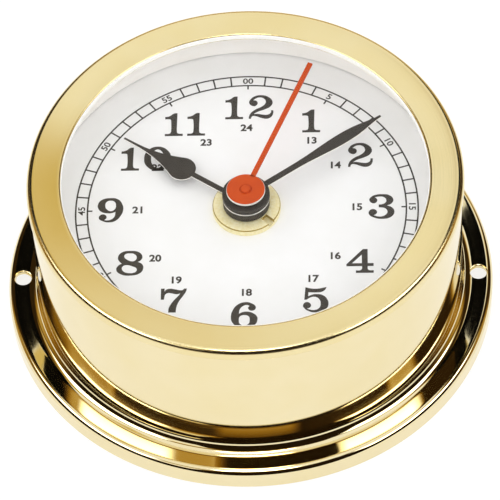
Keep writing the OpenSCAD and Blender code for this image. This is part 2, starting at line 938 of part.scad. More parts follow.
module motion_wheel() {
    color(white)
        translate([motion_at[0], motion_at[1], motion_z])
            difference() {
                union() {
                    gear(motion_n, cannon_m, wheel_t, motion_turn, wheel_tooth);
                    gear(motion_pinion_n, motion_m, 2 * wheel_t + play, 0, pinion_tooth);
                }
                translate([0, 0, -past])
                    cylinder(r = stud_r + run_gap, h = 2 * wheel_t + play + 2 * past);
            }
}

// The wheel and the tube that carries the hour hand
module hour_wheel() {
    tube_h = hour_boss_top - hour_z;
    color(white)
        translate([0, 0, hour_z])
            difference() {
                union() {
                    spoked_wheel(hour_n, motion_m, hour_turn, hour_tube_r + tube_hub_w, 4);
                    cylinder(r = hour_tube_r, h = tube_h);
                }
                translate([0, 0, -past])
                    cylinder(r = minute_hole_r, h = tube_h + 2 * past);
            }
}

// The grip behind the movement, a collar inside its back wall, and the setting pinion
module setting_knob() {
    knob_top = move_back - play;
    pinion_top = motion_z + wheel_t + pinion_over;
    collar_over = 0.7;
    collar_t = 0.8;
    flute_r = 0.7;
    flute_deep = 0.45;
    color(black_plastic)
        translate(knob_at) {
            translate([0, 0, knob_top])
                cylinder(r = knob_shaft_r, h = pinion_top - knob_top);
            translate([0, 0, back_in + play])
                cylinder(r = knob_shaft_r + collar_over, h = collar_t);
            translate([0, 0, motion_z])
                gear(knob_n, cannon_m, wheel_t + pinion_over, knob_turn, pinion_tooth);
            translate([0, 0, knob_top - knob_h])
                difference() {
                    cylinder(d = knob_d, h = knob_h);
                    for (i = [0 : knob_flutes - 1])
                        rotate(i * 360 / knob_flutes)
                            translate([knob_d / 2 + flute_r - flute_deep, 0, -past])
                                cylinder(r = flute_r, h = knob_h + 2 * past);
                }
        }
}

// Hands, drawn along +Y and turned to the time

blade_steps = 12;

// A stem, a round lobe, and flanks that are arcs tangent to the lobe and to the point
module hour_outline() {
    lobe_r = lobe_d / 2;
    stem = hour_stem_w / 2;
    point = point_w / 2;
    run = point_at - lobe_at;
    flank_r = (pow(run, 2) - pow(lobe_r, 2) + pow(point, 2)) / (2 * (lobe_r - point));
    lean = atan2(run, point + flank_r);
    flank = arc([point + flank_r, point_at], flank_r, 180 + lean, 180, blade_steps);
    both_sides(concat(
        [[stem, 0]],
        arc([0, lobe_at], lobe_r, -acos(stem / lobe_r), lean, blade_steps),
        [for (i = [1 : blade_steps]) flank[i]],
        [[0.8 * point, hour_l]]
    ));
}

// Half width that eases from one value to another as t goes from 0 to 1
function ease(from, to, t) = (from + (to - from) * (1 - cos(180 * pow(t, 1.35))) / 2) / 2;

// A stem that swells to a leaf and narrows to its point
module minute_outline() {
    shares = [for (i = [0 : blade_steps]) i / blade_steps];
    both_sides(concat(
        [[minute_stem_w / 2, 0]],
        [for (t = shares) [ease(minute_stem_w, leaf_w, t), leaf_from + t * (leaf_at - leaf_from)]],
        [for (t = shares) if (t > 0) [ease(leaf_w, point_w, t), leaf_at + t * (minute_l - leaf_at)]]
    ));
}

module hour_hand() {
    color(black)
        translate([0, 0, hour_hand_z])
            difference() {
                union() {
                    cylinder(d = hour_boss_d, h = hour_boss_h);
                    rotate(-hour_at)
                        linear_extrude(blade_t)
                            hour_outline();
                }
                translate([0, 0, -past])
                    cylinder(r = hour_tube_r, h = hour_boss_h + 2 * past);
            }
}

module minute_hand() {
    color(black)
        translate([0, 0, minute_hand_z])
            difference() {
                union() {
                    cylinder(d = minute_boss_d, h = minute_boss_h);
                    rotate(-minute_at)
                        linear_extrude(blade_t)
                            minute_outline();
                }
                translate([0, 0, -past])
                    cylinder(r = minute_tube_r, h = minute_boss_h + 2 * past);
            }
}

module second_hand() {
    color(red)
        translate([0, 0, second_hand_z])
            difference() {
                union() {
                    cylinder(d = second_disc_d, h = second_t);
                    cylinder(d = cap_d, h = second_t + cap_h);
                    rotate(-second_at)
                        translate([-second_w / 2, 0, 0])
                            cube([second_w, second_l, second_t]);
                }
                translate([0, 0, -past])
                    cylinder(r = arbor_r, h = second_bore + past);
            }
}

case_shell();
bezel();
glass();
glass_gasket();
rehaut_ring();
dial();
dial_seat_ring();
threaded_bush();
rubber_washer();
brass_washer();
slotted_nut();
movement_front_case();
movement_back_case();
middle_plate();
battery_cell();
positive_contact();
negative_contact();
circuit_board();
control_chip();
quartz_crystal();
stator();
coil_core();
coil_bobbin();
coil_winding();
rotor();
intermediate_wheel();
seconds_wheel();
third_wheel();
centre_wheel();
motion_wheel();
hour_wheel();
setting_knob();
hour_hand();
minute_hand();
second_hand();
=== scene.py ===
"""A small brass ship's clock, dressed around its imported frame. Lengths in millimetres, angles in degrees."""

import math

import bmesh
import bpy
from mathutils import Matrix, Vector


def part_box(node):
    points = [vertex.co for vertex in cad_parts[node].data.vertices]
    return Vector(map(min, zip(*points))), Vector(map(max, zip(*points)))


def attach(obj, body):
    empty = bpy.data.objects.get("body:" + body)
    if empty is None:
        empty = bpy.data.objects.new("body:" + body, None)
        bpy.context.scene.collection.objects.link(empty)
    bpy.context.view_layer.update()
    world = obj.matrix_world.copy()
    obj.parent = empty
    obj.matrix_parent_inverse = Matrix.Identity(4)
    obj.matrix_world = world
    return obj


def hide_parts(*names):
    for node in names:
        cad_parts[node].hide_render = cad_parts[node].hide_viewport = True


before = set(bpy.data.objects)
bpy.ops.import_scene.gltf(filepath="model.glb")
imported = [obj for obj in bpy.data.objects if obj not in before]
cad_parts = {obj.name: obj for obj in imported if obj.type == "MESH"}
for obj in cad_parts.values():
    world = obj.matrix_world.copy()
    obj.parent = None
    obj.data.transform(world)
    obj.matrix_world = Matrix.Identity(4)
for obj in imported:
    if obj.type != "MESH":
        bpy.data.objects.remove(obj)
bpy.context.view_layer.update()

MM = 0.001
FULL_TURN = 2 * math.pi
LATHE_STEPS = 240
HOLE_STEPS = 48
# Points closer than this are one
MERGE = 0.0005
# A cutter reaches this far past what it cuts
CUT_PAST = 1.0
# Edges sharper than this stay crisp
SHARP = 32.0
# How far a face's normal rises, from 0 on a wall to 1 on a flat:
# less than the first on a wall, between the other two on a bevel
WALL_RISE = 0.3
BEVEL_LOW, BEVEL_HIGH = 0.15, 0.9


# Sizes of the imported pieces

def reach(node):
    """Reach along +X, which is a round node's radius, and lowest and highest point of a CAD node."""
    low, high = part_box(node)
    return high.x / MM, low.z / MM, high.z / MM


base_r, _, drum_h = reach("case_shell")
bezel_r, bezel_low, bezel_top = reach("bezel")
_, _, dial_top = reach("dial")
rehaut_r, rehaut_low, rehaut_top = reach("rehaut_ring")
nut_r, nut_low, nut_top = reach("slotted_nut")
_, hour_low, hour_top = reach("hour_hand")
_, minute_low, minute_top = reach("minute_hand")
_, second_low, second_top = reach("second_hand")

# Case: spun sheet with a cove at the drum's foot and a rolled edge on the flange
sheet_t = 1.0
drum_r = 41.5
base_h = 4.4
cove_r = 2.2
edge_r = 1.3
foot_round = 0.25
rim_round = 0.2
# The flange is softly dished: its slope at the cove and at its rolled edge
flange_in = 0.6
flange_out = 1.6
screw_at = 44.7
screw_hole_r = 1.6
screw_edge = 0.25
screw_mouth_deep = 0.4
# Angles round the hole's mouth, in radians
screw_mouth_turns = (0.0, 0.5, 1.0, 1.4)

# Bezel
aperture_r = 35.3
lip_low = 34.1
lip_top = 35.5
lip_round = 0.45
bezel_round = 1.15
dish_r = 30.0
spigot_in = 39.75
spigot_out = 40.4
seam_round = 0.12
# White bead on the lip's inner wall: a painted highlight for the bright band along the lip
bead_t = 0.14
bead_low = 34.38
bead_top = 35.4

# Spacer, nut and hands
rehaut_in = 39.0
rehaut_gap = 0.26
rehaut_gap_deep = 0.7
rehaut_lip = 0.15
bush_r = 4.0
nut_bevel = 0.24
nut_slot_w = 1.5
nut_slot_deep = 0.85
nut_slot_from = 4.5
nut_slot_at = 132.0
blade_t = 0.3
blade_bevel = 0.05
# A blade starts this far inside its boss
blade_root = 0.4
hour_at = 304.4
hour_boss_r = 4.5
hour_tube_r = 2.5
hour_stem_w = 1.1
lobe_at = 15.2
lobe_r = 2.7
point_at = 26.4
point_w = 0.5
# Width of the spade's tip, as a share of its point's
tip_share = 0.8
hour_l = 29.0
minute_at = 53.6
minute_boss_r = 4.575
minute_tube_r = 1.6
minute_step = 0.45
minute_hub_r = 3.0
minute_stem_w = 1.3
leaf_from = 9.0
leaf_at = 22.8
leaf_w = 2.5
# Above 1, the leaf swells late
leaf_swell = 1.35
leaf_steps = 16
minute_l = 32.3
second_at = 21.6
second_disc_r = 3.725
second_t = 0.45
disc_edge = 0.06
second_w = 0.95
second_l = 33.6
cap_r = 0.925
cap_round = 0.2
cap_roof = 0.2
cap_groove = 0.14
arbor_r = 0.5
boss_edge = 0.14

# Printing on the dial
ink_t = 0.03
track_in = 30.73
track_out = 33.0
track_line = 0.3
tick_l = 0.95
figure_at = 31.87


# Materials

# Most of a noise's values lie between these, and the colours run between them
NOISE_LOW, NOISE_HIGH = 0.3, 0.7
# Size and range of the clouds in polished metal
CLOUD = 14
CLOUD_LOW, CLOUD_HIGH = 0.35, 0.65
# A bump's grains are this many times finer than those of its colour
FINER = 4
# Size of the scuffs on the cell's film, and its bands as shares of its length
SCUFF = 3
CELL_BANDS = [(0.0, "#B9BCC0"), (0.012, "#2B2F35"), (0.68, "#B0703A"), (0.965, "#C9CCD0")]


def linear(code):
    """An sRGB hex colour as linear red, green, blue and alpha."""
    parts = [int(code[i:i + 2], 16) / 255 for i in (1, 3, 5)]
    return [p / 12.92 if p <= 0.04045 else ((p + 0.055) / 1.055) ** 2.4 for p in parts] + [1.0]


def add(tree, kind, inputs=None, **settings):
    """Adds a node with its settings; an input is a value or the output that is linked to it."""
    node = tree.nodes.new("ShaderNode" + kind)
    for name, value in settings.items():
        setattr(node, name, value)
    for name, value in (inputs or {}).items():
        if isinstance(value, bpy.types.NodeSocket):
            tree.links.new(value, node.inputs[name])
        else:
            node.inputs[name].default_value = value
    return node


def start(name):
    """An empty material with its node tree, its output and Object coordinates."""
    material = bpy.data.materials.new(name)
    material.use_nodes = True
    tree = material.node_tree
    tree.nodes.clear()
    output = add(tree, "OutputMaterial")
    place = add(tree, "TexCoord").outputs["Object"]
    return material, tree, output.inputs["Surface"], place


def set_stops(ramp, stops):
    """Gives a colour ramp its stops, each a position and a linear colour."""
    for at, _ in stops[1:-1]:
        ramp.elements.new(at)
    for stop, (at, colour) in zip(ramp.elements, stops):
        stop.position = at
        stop.color = colour


def per_mm(size):
    """Texture scale, per metre, of a pattern whose grains are this many millimetres across."""
    return 1.0 / (size * MM)


def plain_finish(name, dark, pale, grain, roughness, bump=0.0, metallic=0.0, spread=0.06, ior=1.5):
    """A finish whose colour and gloss vary softly; its grains and the finer bump are in millimetres."""
    material, tree, surface, place = start(name)
    noise = add(tree, "TexNoise", {"Vector": place, "Scale": per_mm(grain), "Detail": 3.0})
    tint = add(tree, "ValToRGB", {"Fac": noise.outputs["Fac"]})
    set_stops(tint.color_ramp, [(NOISE_LOW, linear(dark)), (NOISE_HIGH, linear(pale))])
    gloss = add(tree, "MapRange", {
        "Value": noise.outputs["Fac"], "From Min": NOISE_LOW, "From Max": NOISE_HIGH,
        "To Min": roughness - spread, "To Max": roughness + spread})
    shader = add(tree, "BsdfPrincipled", {
        "Base Color": tint.outputs["Color"], "Roughness": gloss.outputs["Result"],
        "Metallic": metallic, "IOR": ior})
    if bump:
        fine = add(tree, "TexNoise", {"Vector": place, "Scale": per_mm(grain / FINER), "Detail": 2.0})
        relief = add(tree, "Bump", {
            "Height": fine.outputs["Fac"], "Strength": 1.0, "Distance": bump * MM})
        tree.links.new(relief.outputs["Normal"], shader.inputs["Normal"])
    tree.links.new(shader.outputs["BSDF"], surface)
    return material


def ringed_metal(name, dark, pale, roughness, line, depth, spread):
    """Metal with the rings that a lathe or a winding leaves; line is their spacing, depth their relief."""
    material, tree, surface, place = start(name)
    split = add(tree, "SeparateXYZ", {"Vector": place})
    square_x = add(tree, "Math", {0: split.outputs["X"], 1: split.outputs["X"]}, operation="MULTIPLY")
    square = add(tree, "Math", {
        0: split.outputs["Y"], 1: split.outputs["Y"], 2: square_x.outputs[0]}, operation="MULTIPLY_ADD")
    radius = add(tree, "Math", {0: square.outputs[0]}, operation="SQRT")
    along = add(tree, "Math", {0: radius.outputs[0], 1: split.outputs["Z"]}, operation="ADD")
    rings = add(tree, "TexNoise", {
        "W": along.outputs[0], "Scale": per_mm(line), "Detail": 2.0}, noise_dimensions="1D")
    cloud = add(tree, "TexNoise", {"Vector": place, "Scale": per_mm(CLOUD), "Detail": 2.0})
    tint = add(tree, "ValToRGB", {"Fac": cloud.outputs["Fac"]})
    set_stops(tint.color_ramp, [(CLOUD_LOW, linear(dark)), (CLOUD_HIGH, linear(pale))])
    gloss = add(tree, "MapRange", {
        "Value": rings.outputs["Fac"], "From Min": NOISE_LOW, "From Max": NOISE_HIGH,
        "To Min": roughness - spread, "To Max": roughness + spread})
    relief = add(tree, "Bump", {"Height": rings.outputs["Fac"], "Strength": 1.0, "Distance": depth * MM})
    shader = add(tree, "BsdfPrincipled", {
        "Base Color": tint.outputs["Color"], "Roughness": gloss.outputs["Result"], "Metallic": 1.0,
        "Normal": relief.outputs["Normal"]})
    tree.links.new(shader.outputs["BSDF"], surface)
    return material


def clear_glass(name):
    """Coated mineral glass: clear, with a faint reflection on its outer face."""
    material, tree, surface, _ = start(name)
    fresnel = add(tree, "Fresnel", {"IOR": 1.22})
    side = add(tree, "NewGeometry")
    front = add(tree, "Math", {0: 1.0, 1: side.outputs["Backfacing"]}, operation="SUBTRACT")
    share = add(tree, "Math", {0: fresnel.outputs[0], 1: front.outputs[0]}, operation="MULTIPLY")
    clear = add(tree, "BsdfTransparent", {"Color": linear("#FFFFFF")})
    mirror = add(tree, "BsdfPrincipled", {
        "Base Color": linear("#FFFFFF"), "Metallic": 1.0, "Roughness": 0.02})
    mix = add(tree, "MixShader", {
        "Fac": share.outputs[0], 1: clear.outputs[0], 2: mirror.outputs[0]})
    tree.links.new(mix.outputs[0], surface)
    return material


def banded_wrap(name):
    """Printed film on the cell: dark, with a copper-coloured band at one end."""
    material, tree, surface, place = start(name)
    split = add(tree, "SeparateXYZ", {"Vector": place})
    low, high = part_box("battery_cell")
    share = add(tree, "MapRange", {
        "Value": split.outputs["X"], "From Min": low.x, "From Max": high.x})
    tint = add(tree, "ValToRGB", {"Fac": share.outputs["Result"]})
    tint.color_ramp.interpolation = "CONSTANT"
    set_stops(tint.color_ramp, [(at, linear(code)) for at, code in CELL_BANDS])
    scuff = add(tree, "TexNoise", {"Vector": place, "Scale": per_mm(SCUFF), "Detail": 4.0})
    gloss = add(tree, "MapRange", {"Value": scuff.outputs["Fac"], "To Min": 0.2, "To Max": 0.42})
    shader = add(tree, "BsdfPrincipled", {
        "Base Color": tint.outputs["Color"], "Roughness": gloss.outputs["Result"], "Metallic": 0.5})
    tree.links.new(shader.outputs["BSDF"], surface)
    return material


# Finishes. Rings and grains too fine for the picture are drawn coarser than the real ones, so that they show

# Lacquered spun brass, buffed to a mirror: pale gold, with only a breath of polishing haze
case_brass = ringed_metal(
    "polished_brass", "#ECDDAF", "#EEE0B6", 0.045, line=0.35, depth=0.00006, spread=0.015)
# Turned brass of the bezel, finely satined: pale gold with a soft sheen
bezel_brass = ringed_metal("satined_brass", "#EAD9A3", "#ECDDAC", 0.2, line=0.22, depth=0.0002, spread=0.04)
# Machined brass of the centre nut: matt, pale and slightly mottled
nut_brass = plain_finish("machined_brass", "#F3E5A8", "#FEF6D0", 0.45, 0.45, 0.008, 0.2)
# Coated mineral glass: clear, with a faint reflection
front_glass = clear_glass("mineral_glass")
# The nut's bevel and the walls of its key slots: darker brass, painted shade
painted_shade_brass = plain_finish("brass_with_painted_shade", "#A58D3C", "#B8A152", 0.4, 0.5, 0.006, 0.5)
# White with a dull sheen, on the glass's seal and on the bead in the bezel's lip: a painted highlight for the
# bright band along the lip
lip_highlight_white = plain_finish("white_painted_highlight", "#FBFAF7", "#FFFFFD", 2.0, 0.5, 0.002)
# Nitrile rubber of the washer behind the dial: dull black
black_rubber = plain_finish("nitrile_rubber", "#1C1C1C", "#262626", 1.5, 0.8, 0.01)
# Baked white paint of the dial, with a faint orange peel
dial_paint = plain_finish("baked_white_paint", "#F4F4F3", "#F7F7F7", 6.0, 0.5, 0.0015)
# Styrene of the spacer wall: warm white and matt
spacer_styrene = plain_finish("white_styrene", "#FBF8F3", "#FDFBF8", 5.0, 0.6, 0.002)
# Pad-printing ink: warm dark grey and matt
dial_ink = plain_finish("pad_printing_ink", "#35312C", "#3C3833", 1.2, 0.6)
# Stoved black lacquer of the hands: dark, with a low sheen
black_lacquer = plain_finish("black_lacquer", "#37332F", "#3E3A36", 2.0, 0.5, 0.001, ior=1.35)
# Red-orange lacquer of the second hand: even, with a low sheen
red_lacquer = plain_finish("red_orange_lacquer", "#C04306", "#C84A0A", 2.0, 0.55, 0.001, ior=1.3)
# Pale satin metal on the hands' edges and boss rims, not quite bright: partly bare punched metal, partly a
# painted highlight for the bright lines along them
bare_edge_and_highlight = plain_finish("bare_edge_with_painted_highlight", "#F1EEE7", "#F9F7F2", 1.0, 0.45, 0.0, 0.35)
# Moulded ABS of the movement: black front half, pale back half, with a fine spark-eroded texture
black_abs = plain_finish("black_abs", "#1A1A1C", "#232326", 0.9, 0.5, 0.012)
pale_abs = plain_finish("pale_abs", "#CFCBC0", "#D8D5CB", 0.9, 0.5, 0.012)
# Acetal of the wheels: milky white, smooth
wheel_acetal = plain_finish("white_acetal", "#E9E8E3", "#F1F0EC", 1.5, 0.4, 0.002)
# Nickel-plated steel of the contacts and the motor's plates: pale grey, with a slightly blurred shine
plated_steel = plain_finish("nickel_plated_steel", "#B9BBBE", "#C8CACC", 0.8, 0.28, 0.002, 1.0)
# Printed film round the cell: dark and glossy, with a copper-coloured band
cell_wrap = banded_wrap("printed_cell_film")
# Solder-masked laminate, green and glossy, and the shiny black epoxy drop over the chip
board_laminate = plain_finish("solder_masked_laminate", "#1A5230", "#256B3F", 1.1, 0.35, 0.01)
chip_epoxy = plain_finish("epoxy_drop", "#0E0E0F", "#161618", 1.0, 0.25, 0.004)
# Enamelled copper wire of the coil: reddish metal, ribbed by its turns
copper_wire = ringed_metal("enamelled_copper", "#A8602B", "#C4773A", 0.3, line=0.2, depth=0.02, spread=0.05)

NODE_FINISHES = {
    front_glass: ["glass"],
    lip_highlight_white: ["glass_gasket"],
    black_rubber: ["rubber_washer"],
    dial_paint: ["dial"],
    nut_brass: ["brass_washer", "threaded_bush"],
    case_brass: ["dial_seat_ring"],
    black_abs: ["movement_front_case", "coil_bobbin", "setting_knob"],
    pale_abs: ["movement_back_case", "middle_plate"],
    wheel_acetal: [
        "rotor", "intermediate_wheel", "seconds_wheel", "third_wheel", "centre_wheel", "motion_wheel",
        "hour_wheel"],
    plated_steel: ["positive_contact", "negative_contact", "stator", "coil_core", "quartz_crystal"],
    cell_wrap: ["battery_cell"],
    board_laminate: ["circuit_board"],
    chip_epoxy: ["control_chip"],
    copper_wire: ["coil_winding"],
}
for finish, names in NODE_FINISHES.items():
    for name in names:
        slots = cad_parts[name].data.materials
        slots.clear()
        slots.append(finish)


# Making pieces

def arc(centre, r, first, last, steps):
    """Points on an arc, as pairs, from one angle to the other."""
    turns = [math.radians(first + (last - first) * i / steps) for i in range(steps + 1)]
    return [(centre[0] + r * math.cos(t), centre[1] + r * math.sin(t)) for t in turns]


def turned(profile, bm=None):
    """A closed profile of radius and height pairs, turned once round the clock's axis."""
    bm = bm or bmesh.new()
    corners = [bm.verts.new((r * MM, 0, z * MM)) for r, z in profile]
    edges = [bm.edges.new(pair) for pair in zip(corners, corners[1:] + corners[:1])]
    bmesh.ops.spin(
        bm, geom=corners + edges, cent=(0, 0, 0), axis=(0, 0, 1), angle=FULL_TURN,
        steps=LATHE_STEPS, use_merge=True)
    bmesh.ops.remove_doubles(bm, verts=bm.verts, dist=MERGE * MM)
    bmesh.ops.recalc_face_normals(bm, faces=bm.faces)
    return bm


def to_mesh(name, bm, finishes):
    """Turns a finished bmesh into a mesh with its finishes."""
    mesh = bpy.data.meshes.new(name)
    bm.to_mesh(mesh)
    bm.free()
    for finish in finishes:
        mesh.materials.append(finish)
    return mesh


def place_piece(name, mesh, body, nodes=()):
    """Puts a finished mesh in the scene: smooth but for its sharp edges, with true flats."""
    mesh.shade_smooth()
    mesh.set_sharp_from_angle(angle=math.radians(SHARP))
    obj = bpy.data.objects.new(name, mesh)
    bpy.context.scene.collection.objects.link(obj)
    flats = obj.modifiers.new("true_flats", "WEIGHTED_NORMAL")
    flats.keep_sharp = True
    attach(obj, body)
    if nodes:
        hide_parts(*nodes)


def cut(mesh, cutters):
    """Takes closed cutter meshes out of a mesh."""
    whole = bpy.data.objects.new("whole", mesh)
    bpy.context.scene.collection.objects.link(whole)
    tools = []
    for i, cutter in enumerate(cutters):
        tool = bpy.data.objects.new(f"cutter_{i}", cutter)
        bpy.context.scene.collection.objects.link(tool)
        tools.append(tool)
        boolean = whole.modifiers.new(tool.name, "BOOLEAN")
        boolean.operation = "DIFFERENCE"
        boolean.solver = "EXACT"
        boolean.object = tool
    depsgraph = bpy.context.evaluated_depsgraph_get()
    result = bpy.data.meshes.new_from_object(whole.evaluated_get(depsgraph))
    for obj in [whole] + tools:
        bpy.data.objects.remove(obj)
    return result


def case_profile():
    """Section of the spun case: foot, skirt, rolled edge, dished flange, cove, drum, and back inside."""
    sin_in, cos_in = math.sin(math.radians(flange_in)), math.cos(math.radians(flange_in))
    sin_out, cos_out = math.sin(math.radians(flange_out)), math.cos(math.radians(flange_out))
    cove_x = drum_r + cove_r
    edge_x = base_r - edge_r
    edge_z = base_h - edge_r
    # The dish is an arc that meets the rolled edge and the cove without a kink
    dish = (edge_x - edge_r * sin_out - cove_x - cove_r * sin_in) / (sin_out - sin_in)
    dish_x = edge_x - (edge_r + dish) * sin_out
    dish_z = edge_z + (edge_r + dish) * cos_out
    cove_z = dish_z - (dish - cove_r) * cos_in
    outside = [(base_r - sheet_t + foot_round, 0.0)]
    outside += arc((base_r - foot_round, foot_round), foot_round, -90, 0, steps=4)
    outside += arc((edge_x, edge_z), edge_r, 0, 90 + flange_out, steps=16)
    outside += arc((dish_x, dish_z), dish, 270 + flange_out, 270 + flange_in, steps=8)[1:-1]
    outside += arc((cove_x, cove_z), cove_r, 270 + flange_in, 180, steps=20)
    outside += arc((drum_r - rim_round, drum_h - rim_round), rim_round, 0, 90, steps=4)
    inside = [(drum_r - sheet_t, drum_h)]
    inside += arc((cove_x, base_h + cove_r), cove_r + sheet_t, 180, 270, steps=16)
    inside += [(base_r - sheet_t, base_h - sheet_t), (base_r - sheet_t, foot_round)]
    return outside + inside


def screw_cutter(side):
    """A screw hole with a rounded mouth in the flange."""
    bm = bmesh.new()
    mouth_z = base_h - screw_mouth_deep
    section = [(screw_hole_r, -CUT_PAST)]
    for t in screw_mouth_turns:
        section.append((screw_hole_r + screw_edge * (1 - math.cos(t)), mouth_z + screw_edge * math.sin(t)))
    section.append((section[-1][0], base_h + cove_r))
    corners = [bm.verts.new((r * MM, 0, z * MM)) for r, z in section]
    edges = [bm.edges.new(pair) for pair in zip(corners, corners[1:])]
    bmesh.ops.spin(
        bm, geom=corners + edges, cent=(0, 0, 0), axis=(0, 0, 1), angle=FULL_TURN, steps=HOLE_STEPS,
        use_merge=True)
    bmesh.ops.holes_fill(bm, edges=[e for e in bm.edges if e.is_boundary], sides=0)
    bmesh.ops.recalc_face_normals(bm, faces=bm.faces)
    bmesh.ops.translate(bm, verts=bm.verts, vec=(side * screw_at * MM, 0, 0))
    return to_mesh("screw_cutter", bm, [])


def bezel_profile():
    """Section of the bezel: lip, hollow face, rounded edge, underside and spigot."""
    lip = (aperture_r + lip_round, lip_top - lip_round)
    crest = (bezel_r - bezel_round, bezel_top - bezel_round)
    first = Vector((lip[0], lip_top))
    last = Vector((crest[0], bezel_top))
    half = (last - first).length / 2
    across = (last - first).normalized()
    centre = (first + last) / 2 + Vector((-across.y, across.x)) * math.sqrt(dish_r ** 2 - half ** 2)
    from_lip = math.degrees(math.atan2(first.y - centre.y, first.x - centre.x))
    to_crest = math.degrees(math.atan2(last.y - centre.y, last.x - centre.x))
    section = [(aperture_r, lip_low)] + arc(lip, lip_round, 180, 90, steps=6)
    section += arc(centre, dish_r, from_lip, to_crest, steps=12)[1:-1]
    section += arc(crest, bezel_round, 90, 0, steps=20)
    section += arc((bezel_r - seam_round, drum_h + seam_round), seam_round, 0, -90, steps=3)
    section += [(spigot_out, drum_h), (spigot_out, bezel_low), (spigot_in, bezel_low)]
    section += [(spigot_in, lip_low)]
    return section


case_mesh = cut(
    to_mesh("case_body", turned(case_profile()), [case_brass]), [screw_cutter(1), screw_cutter(-1)])
place_piece("case_body", case_mesh, "case", ["case_shell"])
place_piece(
    "bezel_ring", to_mesh("bezel_ring", turned(bezel_profile()), [bezel_brass]), "case",
    ["bezel"])

# The white bead stands as a painted highlight on the lip's inner wall
bead_in = aperture_r - bead_t
bead_section = [(bead_in, bead_low), (aperture_r, bead_low), (aperture_r, bead_top)]
bead_section += [(bead_in + bead_t / 2, bead_top), (bead_in, bead_top - bead_t / 2)]
place_piece(
    "lip_highlight_bead", to_mesh("lip_highlight_bead", turned(bead_section), [lip_highlight_white]), "case")

spacer_section = [
    (rehaut_in + rehaut_gap_deep, rehaut_low), (rehaut_r, rehaut_low), (rehaut_r, rehaut_top),
    (rehaut_in + rehaut_lip, rehaut_top), (rehaut_in, rehaut_top - rehaut_lip),
    (rehaut_in, rehaut_low + rehaut_gap), (rehaut_in + rehaut_gap_deep, rehaut_low + rehaut_gap)]
place_piece(
    "spacer_wall", to_mesh("spacer_wall", turned(spacer_section), [spacer_styrene]), "case",
    ["rehaut_ring"])


def slot_cutter(turn):
    """The box that mills one key slot into the nut."""
    bm = bmesh.new()
    bmesh.ops.create_cube(bm, size=1.0)
    length = nut_r - nut_slot_from + CUT_PAST
    bmesh.ops.scale(bm, verts=bm.verts, vec=Vector((nut_slot_w, length, 2 * nut_slot_deep)) * MM)
    bmesh.ops.translate(bm, verts=bm.verts, vec=Vector((0, nut_slot_from + length / 2, nut_top)) * MM)
    bmesh.ops.rotate(
        bm, verts=bm.verts, cent=(0, 0, 0), matrix=Matrix.Rotation(-math.radians(turn), 3, "Z"))
    bm.normal_update()
    for face in bm.faces:
        # The slot's walls take the darker brass: painted shade
        face.material_index = int(abs(face.normal.z) < WALL_RISE)
    return to_mesh("slot_cutter", bm, [nut_brass, painted_shade_brass])


nut_section = [(bush_r, nut_low), (nut_r, nut_low)]
nut_section += arc((nut_r - nut_bevel, nut_top - nut_bevel), nut_bevel, 0, 90, steps=4)
nut_section += arc((bush_r + nut_bevel, nut_top - nut_bevel), nut_bevel, 90, 180, steps=4)
nut_bm = turned(nut_section)
for face in nut_bm.faces:
    # The bevel takes the darker brass: painted shade along the nut's edge
    face.material_index = int(BEVEL_LOW < face.normal.z < BEVEL_HIGH)
nut_mesh = cut(
    to_mesh("centre_nut", nut_bm, [nut_brass, painted_shade_brass]),
    [slot_cutter(nut_slot_at), slot_cutter(nut_slot_at + 180)])
place_piece("centre_nut", nut_mesh, "case", ["slotted_nut"])


# Hands, drawn along +Y and turned to the time

def hour_outline():
    """Right half of the spade: stem, lobe, flanks tangent to lobe and point, from the boss to the tip."""
    stem = hour_stem_w / 2
    point = point_w / 2
    run = point_at - lobe_at
    flank_r = (run ** 2 - lobe_r ** 2 + point ** 2) / (2 * (lobe_r - point))
    lean = math.degrees(math.atan2(run, point + flank_r))
    half = [(stem, hour_boss_r - blade_root)]
    half += arc((0, lobe_at), lobe_r, -math.degrees(math.acos(stem / lobe_r)), lean, steps=24)
    half += arc((point + flank_r, point_at), flank_r, 180 + lean, 180, steps=16)[1:]
    return half + [(tip_share * point, hour_l)]


def minute_outline():
    """Right half of the leaf: a stem that swells to the leaf and narrows to its point."""
    def ease(first, last, t):
        """Half the width at a share t of the way from the first width to the last."""
        return (first + (last - first) * (1 - math.cos(math.pi * t ** leaf_swell)) / 2) / 2

    shares = [i / leaf_steps for i in range(leaf_steps + 1)]
    half = [(minute_stem_w / 2, minute_boss_r - blade_root)]
    half += [(ease(minute_stem_w, leaf_w, t), leaf_from + t * (leaf_at - leaf_from)) for t in shares]
    half += [(ease(leaf_w, point_w, t), leaf_at + t * (minute_l - leaf_at)) for t in shares[1:]]
    return half


def second_outline():
    """Right half of the straight bar."""
    return [(second_w / 2, second_disc_r - blade_root), (second_w / 2, second_l)]


def blade(half, low, thick, turn, bare_lit_sides):
    """A blade cut from sheet by its half outline, softly bevelled and turned clockwise from 12."""
    bm = bmesh.new()
    points = half + [(-x, y) for x, y in reversed(half)]
    corners = [bm.verts.new((x * MM, y * MM, low * MM)) for x, y in points]
    sheet = bm.faces.new(corners)
    grown = bmesh.ops.extrude_face_region(bm, geom=[sheet])
    raised = [v for v in grown["geom"] if isinstance(v, bmesh.types.BMVert)]
    bmesh.ops.translate(bm, verts=raised, vec=(0, 0, thick * MM))
    bmesh.ops.recalc_face_normals(bm, faces=bm.faces)
    rim = [e for e in bm.edges if all(v.co.z > (low + thick / 2) * MM for v in e.verts)]
    bmesh.ops.bevel(
        bm, geom=rim, offset=blade_bevel * MM, affect="EDGES", segments=2, profile=0.5, material=-1)
    bmesh.ops.rotate(
        bm, verts=bm.verts, cent=(0, 0, 0), matrix=Matrix.Rotation(-math.radians(turn), 3, "Z"))
    bm.normal_update()
    # Side walls take the pale edge metal: bare punched edge and painted highlight
    for face in bm.faces:
        face.material_index = int(bare_lit_sides and abs(face.normal.z) < WALL_RISE)
    return bm


